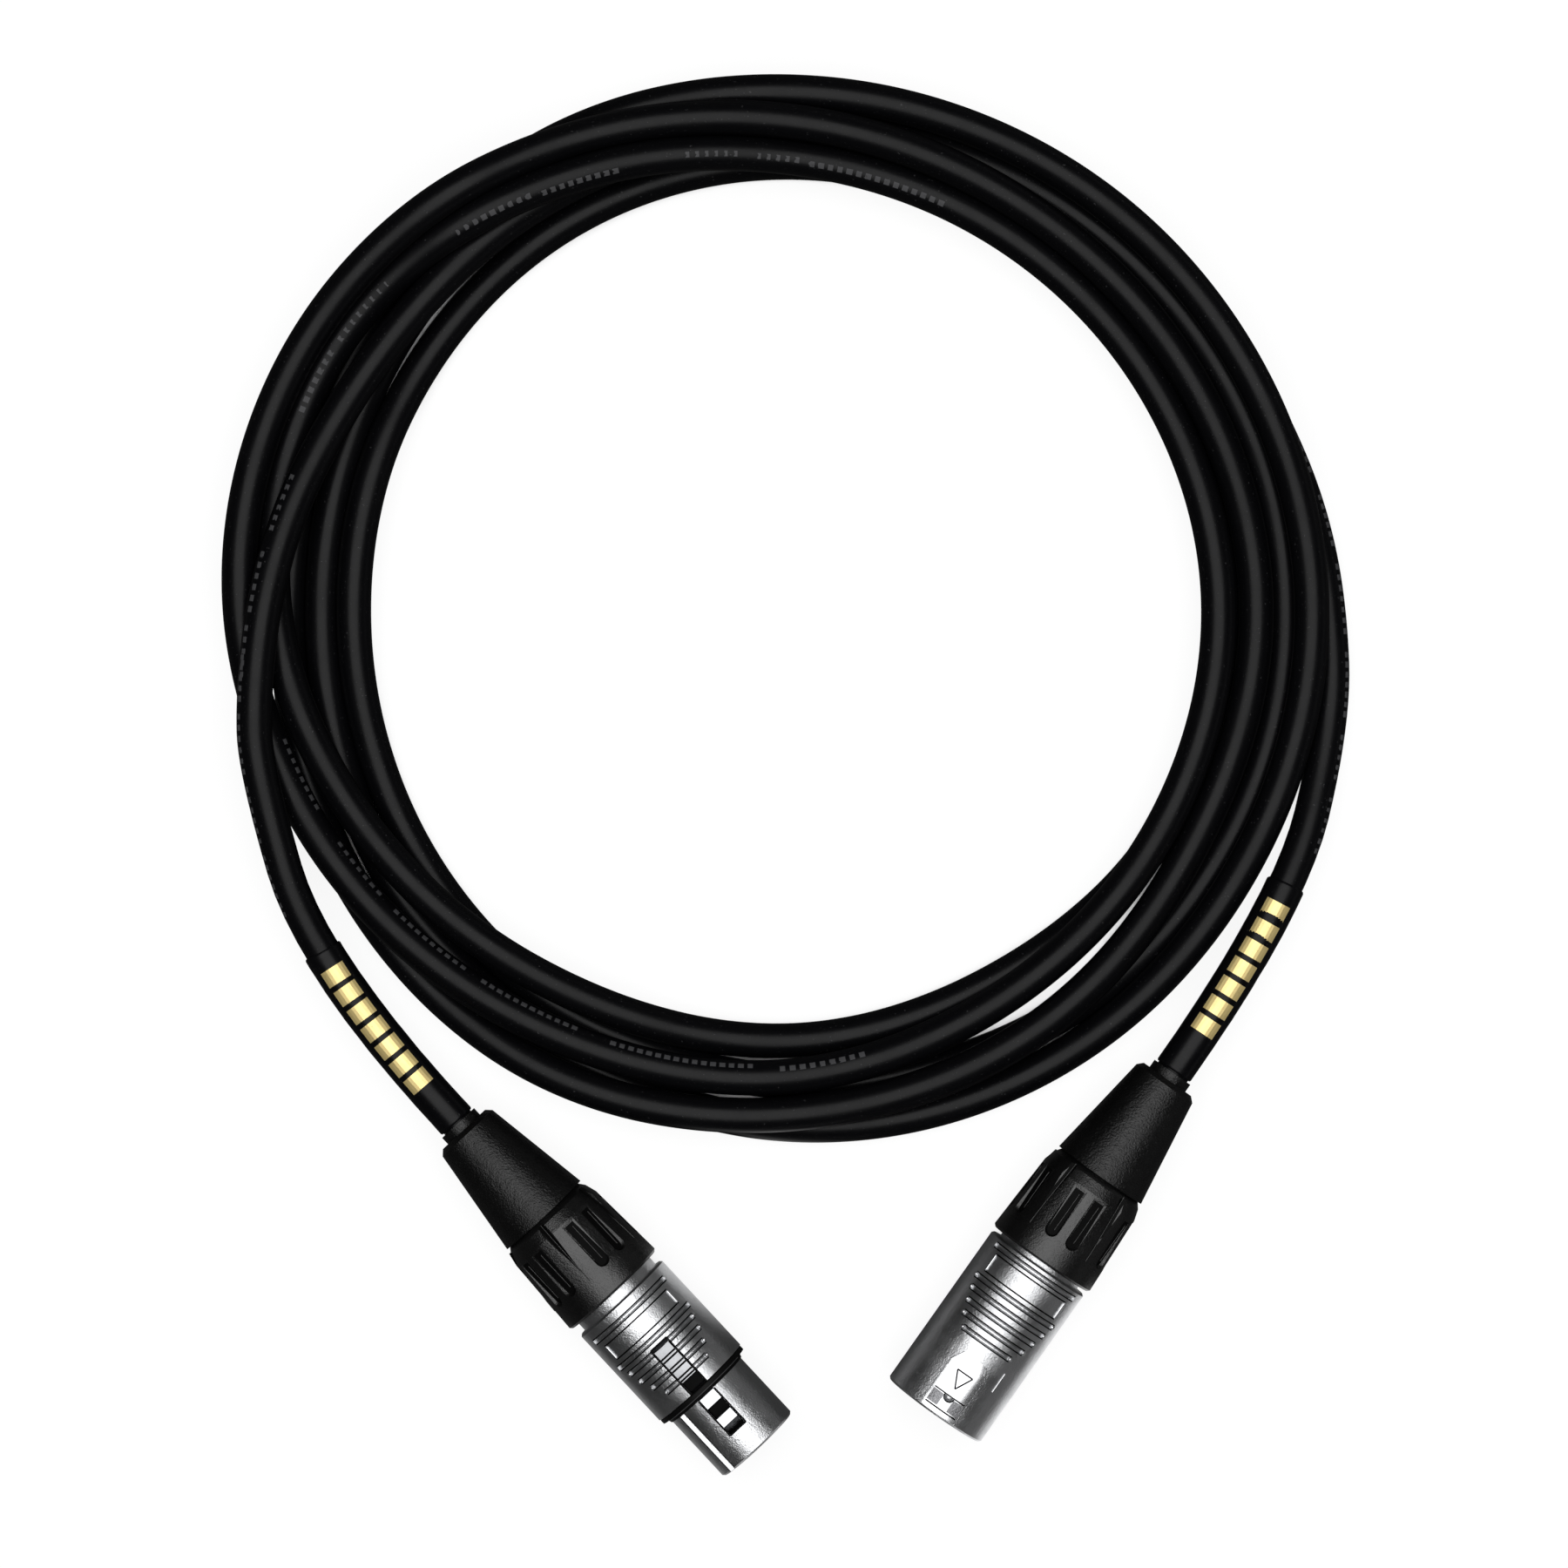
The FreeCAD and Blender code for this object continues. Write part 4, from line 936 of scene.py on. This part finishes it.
PANEL_SIDE = [(57.7, 2.25), (59.9, 3.52), (69.0, 3.52)]
ROLL_R = SHELL_R + 0.06
ROLL_THICK = 0.26
LIP_ANGLE = 48.6
LIP_DEPTH = 0.10
LIP_THICK = 0.44
for number, side in enumerate((1, -1), start=1):
    rod("panel_roll_%d" % number, [(x, degrees_wide(side * y, SHELL_R)) for x, y in PANEL_SIDE],
        ROLL_R, ROLL_THICK, MALE, polished)
    for plate, connector, radius_mm, xs in (("male", MALE, SHELL_R, (41.5, 44.3)),
                                            ("female", FEMALE, FEMALE_R, (43.8, 46.2))):
        rod("%s_plate_lip_%d" % (plate, number), [(x, side * LIP_ANGLE) for x in xs],
            radius_mm - LIP_DEPTH, LIP_THICK, connector, polished)
rod("side_line", [(57.0, 36.0), (60.8, 36.0)], ROLL_R, ROLL_THICK, MALE, polished)
# A rod in that lighter grey, as a painted highlight on the ring's lip.
rod("nose_ring_bead", [(60.42, turn) for turn in range(-64, 65, 4)], 8.85, 0.22, FEMALE, ring_lip_painted_highlight)

# %% Bowl and bevel
NOTCH_X = 65.5
BEVEL = [(-0.58, -0.02), (0.06, -0.66)]


def bowl(x_mm, reach_mm, depth_mm, top_mm):
    """Half-round bowl that opens upwards, on the mating side of x."""
    turns = [math.radians(-90 + 180 * spoke / 16) for spoke in range(17)]
    rows = []
    for ring in range(9):
        share = ring / 8
        out, height = reach_mm * share, top_mm - depth_mm * (1 - share ** 3)
        rows.append([Vector((x_mm + out * math.cos(turn), out * math.sin(turn), height)) / 1000
                     for turn in turns])
    return sheet_mesh(rows)


finished("thumb_notch_bowl", bowl(NOTCH_X, 0.95, 0.7, PANEL_R - 0.02), MALE, nickel)
# A ring of painted shade round the edge of the notch, where its rim would hold shadow.
notch_shade_points = []
for degrees in range(-90, 91, 10):
    turn = math.radians(degrees)
    notch_shade_points += [on_shell(NOTCH_X + out * math.cos(turn), degrees_wide(out * math.sin(turn), PANEL_R),
                            PANEL_R + ON_PANEL) for out in (0.80, 1.04)]
finished("thumb_notch_lip", ribbon_mesh(notch_shade_points), MALE, painted_edge_shade)

bevel_points = [Vector((x, aside, NOSE_R + drop)) / 1000 for x in KEYWAY_ENDS for aside, drop in BEVEL]
bevel_mesh = new_mesh("keyway_bevel", bevel_points, faces=[(0, 2, 3, 1)])
bevel_mesh.transform(Matrix.Rotation(math.radians(-KEYWAY_ANGLE), 4, "X"))
finished("keyway_bevel", bevel_mesh, FEMALE, nickel)

# %% [markdown]
# ## Pockets and flutes of the collars
#
# Each collar has pairs of oblong pockets and a pointed flute between each two pairs. Moulded
# pockets have drafted walls, a shaded floor and a fine ridge from the tool. The CAD pockets are
# square cuts, so each gets a sloping wall, a floor of painted shade and a ridge, and each flute a
# matt lining of painted shade with a ridge. They are built once flat and turned into place in a
# loop, one mesh for each kind.

# %% Shape of the pockets
POCKET_BACK, POCKET_FRONT, POCKET_HALF, POCKET_FLOOR = 23.6, 33.4, 1.25, 9.262
SHOULDER_X, SHOULDER_R, BASE_X, BASE_R = 23.2, 9.35, 37.3, 10.0
WALL_INSET = 0.34


def pocket_ring(inset_mm, height_at):
    """Outline of a pocket seen from outside: square at the back and round in front."""
    half = POCKET_HALF - inset_mm
    front = POCKET_FRONT - POCKET_HALF
    turns = [math.radians(turn) for turn in range(0, 181, 15)]
    ring = [(front + half * math.sin(turn), -half * math.cos(turn)) for turn in turns]
    ring = [(POCKET_BACK + inset_mm, -half)] + ring + [(POCKET_BACK + inset_mm, half)]
    return [Vector((x, y, height_at(x, y))) for x, y in ring]


def collar_radius(x):
    """Radius of the collar's cone at a place along it."""
    return SHOULDER_R + (BASE_R - SHOULDER_R) * (x - SHOULDER_X) / (BASE_X - SHOULDER_X)


rim = pocket_ring(-0.02, lambda x, y: math.sqrt(collar_radius(x) ** 2 - y ** 2) + CLEARANCE)
foot = pocket_ring(WALL_INSET, lambda x, y: POCKET_FLOOR)
ridge = [Vector((x, 0.3, POCKET_FLOOR + 0.01)) for x in (POCKET_BACK + 1.0, POCKET_FRONT - 1.4)]
count = len(rim)
wall_faces = [(k, (k + 1) % count, count + (k + 1) % count, count + k) for k in range(count)]
print("points of a pocket's rim:", count)

# %% Pocket walls, floors of painted shade and ridges
FLUTES = 5
POCKET_SPREAD = 12.5
RIDGE_THICK = 0.18
RIDGE_STEP = 0.001
COLLARS = (("male", MALE, 36.0), ("female", FEMALE, -6.5))


def in_pockets(phase, shape, links):
    """Points and their links, turned from one flat shape into every pocket of a collar."""
    points, joins = [], []
    for number in range(FLUTES):
        for spread in (-POCKET_SPREAD, POCKET_SPREAD):
            middle = phase + 360 / FLUTES * (number + 0.5) + spread
            turn = Matrix.Rotation(math.radians(-middle), 4, "X")
            joins += [tuple(len(points) + k for k in link) for link in links]
            points += [turn @ (point / 1000) for point in shape]
    return points, joins


for side, connector, phase in COLLARS:
    for kind, shape, links, material in (("walls", rim + foot, wall_faces, moulded),
                                         ("floors", foot, [tuple(range(count))], pocket_painted_shade)):
        points, faces = in_pockets(phase, shape, links)
        finished("%s_pocket_%s" % (side, kind), new_mesh(kind, points, faces=faces), connector, material)
    name = side + "_pocket_ridges"
    mesh = new_mesh(name, *in_pockets(phase, ridge, [(0, 1)]))
    thin_rods(name, mesh, RIDGE_THICK, connector, moulded, Step=RIDGE_STEP)

# %% Flutes lined with painted shade, with a fine ridge
FLUTE_STATIONS = (20.9, 21.8, 23.2, 26.0, 28.5, 31.0, 33.4)
FLUTE_TIP = FLUTE_STATIONS[-1]
BACK_SLOPE = 0.2
ROOT_X, ROOT_R, ROOT_SLOPE = 19.7, 8.25, 0.1268
WIDTH_TO_DEPTH = 1.19
POINTED_FROM, POINT_SLOPE = 25, 0.058
RIM_LIFT, ROOT_LIFT, RIDGE_LIFT = 0.014, 0.03, 0.05


def flute_section(x):
    """Half width, rim radius and root radius of a flute at a place along the collar."""
    rim_r = SHOULDER_R - BACK_SLOPE * (SHOULDER_X - x) if x < SHOULDER_X else collar_radius(x)
    root_r = min(ROOT_R + ROOT_SLOPE * (x - ROOT_X), rim_r)
    half_width = WIDTH_TO_DEPTH * (rim_r - root_r)
    if x > POINTED_FROM:
        half_width = max(half_width, POINT_SLOPE * (FLUTE_TIP - x))
    return half_width, rim_r + RIM_LIFT, min(root_r + ROOT_LIFT, rim_r + RIM_LIFT)


for side, connector, phase in COLLARS:
    points, faces, ridge_points, ridge_edges = [], [], [], []
    for number in range(FLUTES):
        middle = phase + 360 / FLUTES * number
        for station, x in enumerate(FLUTE_STATIONS):
            half_width, rim_r, root_r = flute_section(x)
            aside = degrees_wide(half_width, rim_r)
            points += [on_shell(x, middle - aside, rim_r), on_shell(x, middle, root_r),
                       on_shell(x, middle + aside, rim_r)]
            ridge_points.append(on_shell(x, middle, root_r + RIDGE_LIFT))
            if station:
                a = len(points) - 6
                faces += [(a, a + 3, a + 4, a + 1), (a + 1, a + 4, a + 5, a + 2)]
                ridge_edges.append((len(ridge_points) - 2, len(ridge_points) - 1))
    finished(side + "_flute_walls", new_mesh("flutes", points, faces=faces), connector, pocket_painted_shade)
    name = side + "_flute_ridges"
    mesh = new_mesh(name, ridge_points, ridge_edges)
    thin_rods(name, mesh, RIDGE_THICK, connector, moulded, Step=RIDGE_STEP)

# %% [markdown]
# ## Floor and light
#
# The picture has a clean white ground. A white floor under plain light is still a little grey, so
# the floor adds its own white where the camera sees it, and keeps the soft shadow of the lead. In
# the deep slits of the coil the white is held back, as a real slit is dark. The metal sees the
# table much darker than the camera does, apart from strips of painted reflection beside the shells,
# where the floor glows for glossy rays alone. One soft light hangs over the table between dark
# walls. That gives the cable its single soft streak and the metal a bright band between dark flanks.


# %% Strips of painted reflection, glowing on the floor for the metal alone
def reflection_strip(tree, place, connector, start, near, far, end):
    """Soft strip of painted reflection along a shell: its brightness rises from start to near and fades from
    far to end.
    """
    def measured(column):
        direction = connector.col[column].to_3d()
        dot = add(tree, "ShaderNodeVectorMath", {"operation": "DOT_PRODUCT"}, i0=place, i1=direction)
        return maths(tree, "SUBTRACT", dot.outputs["Value"], direction.dot(connector.translation))

    across_shell = measured(1)
    strip_light = maths(tree, "MULTIPLY", ramp(tree, across_shell, start, near),
                        ramp(tree, across_shell, far, end, 1.0, 0.0))
    return maths(tree, "MULTIPLY", strip_light, ramp(tree, measured(0), 0.036, 0.041))


# %% Floor
SEEN_GLOW = 1.1
MIRRORED_GLOW = 0.05
GLOW_SHARE = 0.8

bpy.ops.mesh.primitive_circle_add(vertices=96, radius=14.0, fill_type="NGON", location=(0, 0, 0))
floor = bpy.context.object
floor.name = "floor"
floor_material = bpy.data.materials.new("White table")
floor_material.use_nodes = True
tree = floor_material.node_tree
tree.nodes.clear()
make, calc = builders(tree)
rays = add(tree, "ShaderNodeLightPath").outputs
glossy = rays["Is Glossy Ray"]
shown = calc("MAXIMUM", calc("MAXIMUM", rays["Is Camera Ray"], glossy), rays["Is Transmission Ray"])
openness = add(tree, "ShaderNodeAmbientOcclusion", {"samples": 8}, Distance=0.006).outputs["AO"]
shown = calc("MULTIPLY", shown, ramp(tree, openness, 0.28, 0.48))
lit = make("ShaderNodeBsdfDiffuse", Color=(0.82, 0.82, 0.82, 1))
place = add(tree, "ShaderNodeTexCoord").outputs["Object"]
# Painted reflection: the floor glows in these strips only for glossy rays, so that the shells' flanks show
# light where there is no lamp.
between = calc("MULTIPLY", reflection_strip(tree, place, FEMALE, 0.004, 0.010, 0.055, 0.080),
               reflection_strip(tree, place, MALE, -0.032, -0.048, -0.110, -0.120))
left_reflection_strip = calc("MULTIPLY", reflection_strip(tree, place, FEMALE, -0.002, -0.006, -0.016, -0.030), 0.30)
right_reflection_strip = calc("MULTIPLY", reflection_strip(tree, place, MALE, 0.002, 0.006, 0.012, 0.050), 1.30)
reflection_strips = calc("MAXIMUM", calc("MULTIPLY", between, 0.80), calc("MAXIMUM", left_reflection_strip, right_reflection_strip))
mirrored = calc("ADD", reflection_strips, MIRRORED_GLOW)
strength = calc("ADD", SEEN_GLOW, calc("MULTIPLY", glossy, calc("SUBTRACT", mirrored, SEEN_GLOW)))
glow = make("ShaderNodeEmission", Color=(1, 1, 1, 1), Strength=strength)
amount = calc("MULTIPLY", shown, calc("ADD", GLOW_SHARE, calc("MULTIPLY", glossy, 1 - GLOW_SHARE)))
blend = make("ShaderNodeMixShader", i0=amount, i1=lit, i2=glow)
tree.links.new(blend, add(tree, "ShaderNodeOutputMaterial").inputs["Surface"])
floor.data.materials.append(floor_material)
floor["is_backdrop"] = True

# %% Walls and lamp
LAMP_HEIGHT = 1.6
LAMP_DIAMETER = 2.0
LAMP_POWER = 29.0
WALL_DARK = 0.03
WALL_SOFT = 0.35

world = bpy.data.worlds.new("Studio")
scene.world = world
world.use_nodes = True
tree = world.node_tree
make, calc = builders(tree)
look = add(tree, "ShaderNodeSeparateXYZ", Vector=add(tree, "ShaderNodeTexCoord").outputs["Generated"]).outputs
low_down = ramp(tree, look["Z"], 0.05, 0.30, 1.0, 0.0)
to_the_right = ramp(tree, look["X"], -0.2, 0.8)
wall = calc("ADD", calc("MULTIPLY", calc("MULTIPLY", low_down, to_the_right), WALL_SOFT), WALL_DARK)
rays = add(tree, "ShaderNodeLightPath").outputs
backdrop = calc("MAXIMUM", calc("MAXIMUM", wall, rays["Is Camera Ray"]), rays["Is Transmission Ray"])
shade = make("ShaderNodeCombineColor", Red=backdrop, Green=backdrop, Blue=backdrop)
tree.links.new(shade, tree.nodes["Background"].inputs["Color"])

lamp_data = bpy.data.lights.new("Overhead softbox", "AREA")
lamp_data.shape = "DISK"
lamp_data.size = LAMP_DIAMETER
lamp_data.energy = LAMP_POWER
lamp = bpy.data.objects.new("Overhead softbox", lamp_data)
lamp.location = (PICTURE_CENTRE[0], PICTURE_CENTRE[1], LAMP_HEIGHT)
scene.collection.objects.link(lamp)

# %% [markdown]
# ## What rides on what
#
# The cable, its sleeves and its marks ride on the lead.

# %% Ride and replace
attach(cable, "lead")
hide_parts("cable_left_tail", "cable_right_tail", "cable_coil")
for name, sleeve in sleeves.items():
    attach(sleeve, "lead")
    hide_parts(name.replace("_cover", ""))
for mark in marks:
    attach(mark, "lead")

# %% Sizes and the end
visual_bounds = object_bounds()
for axis, low, high in zip("xyz", *visual_bounds):
    print("%s from %.4f to %.4f m" % (axis, low, high))
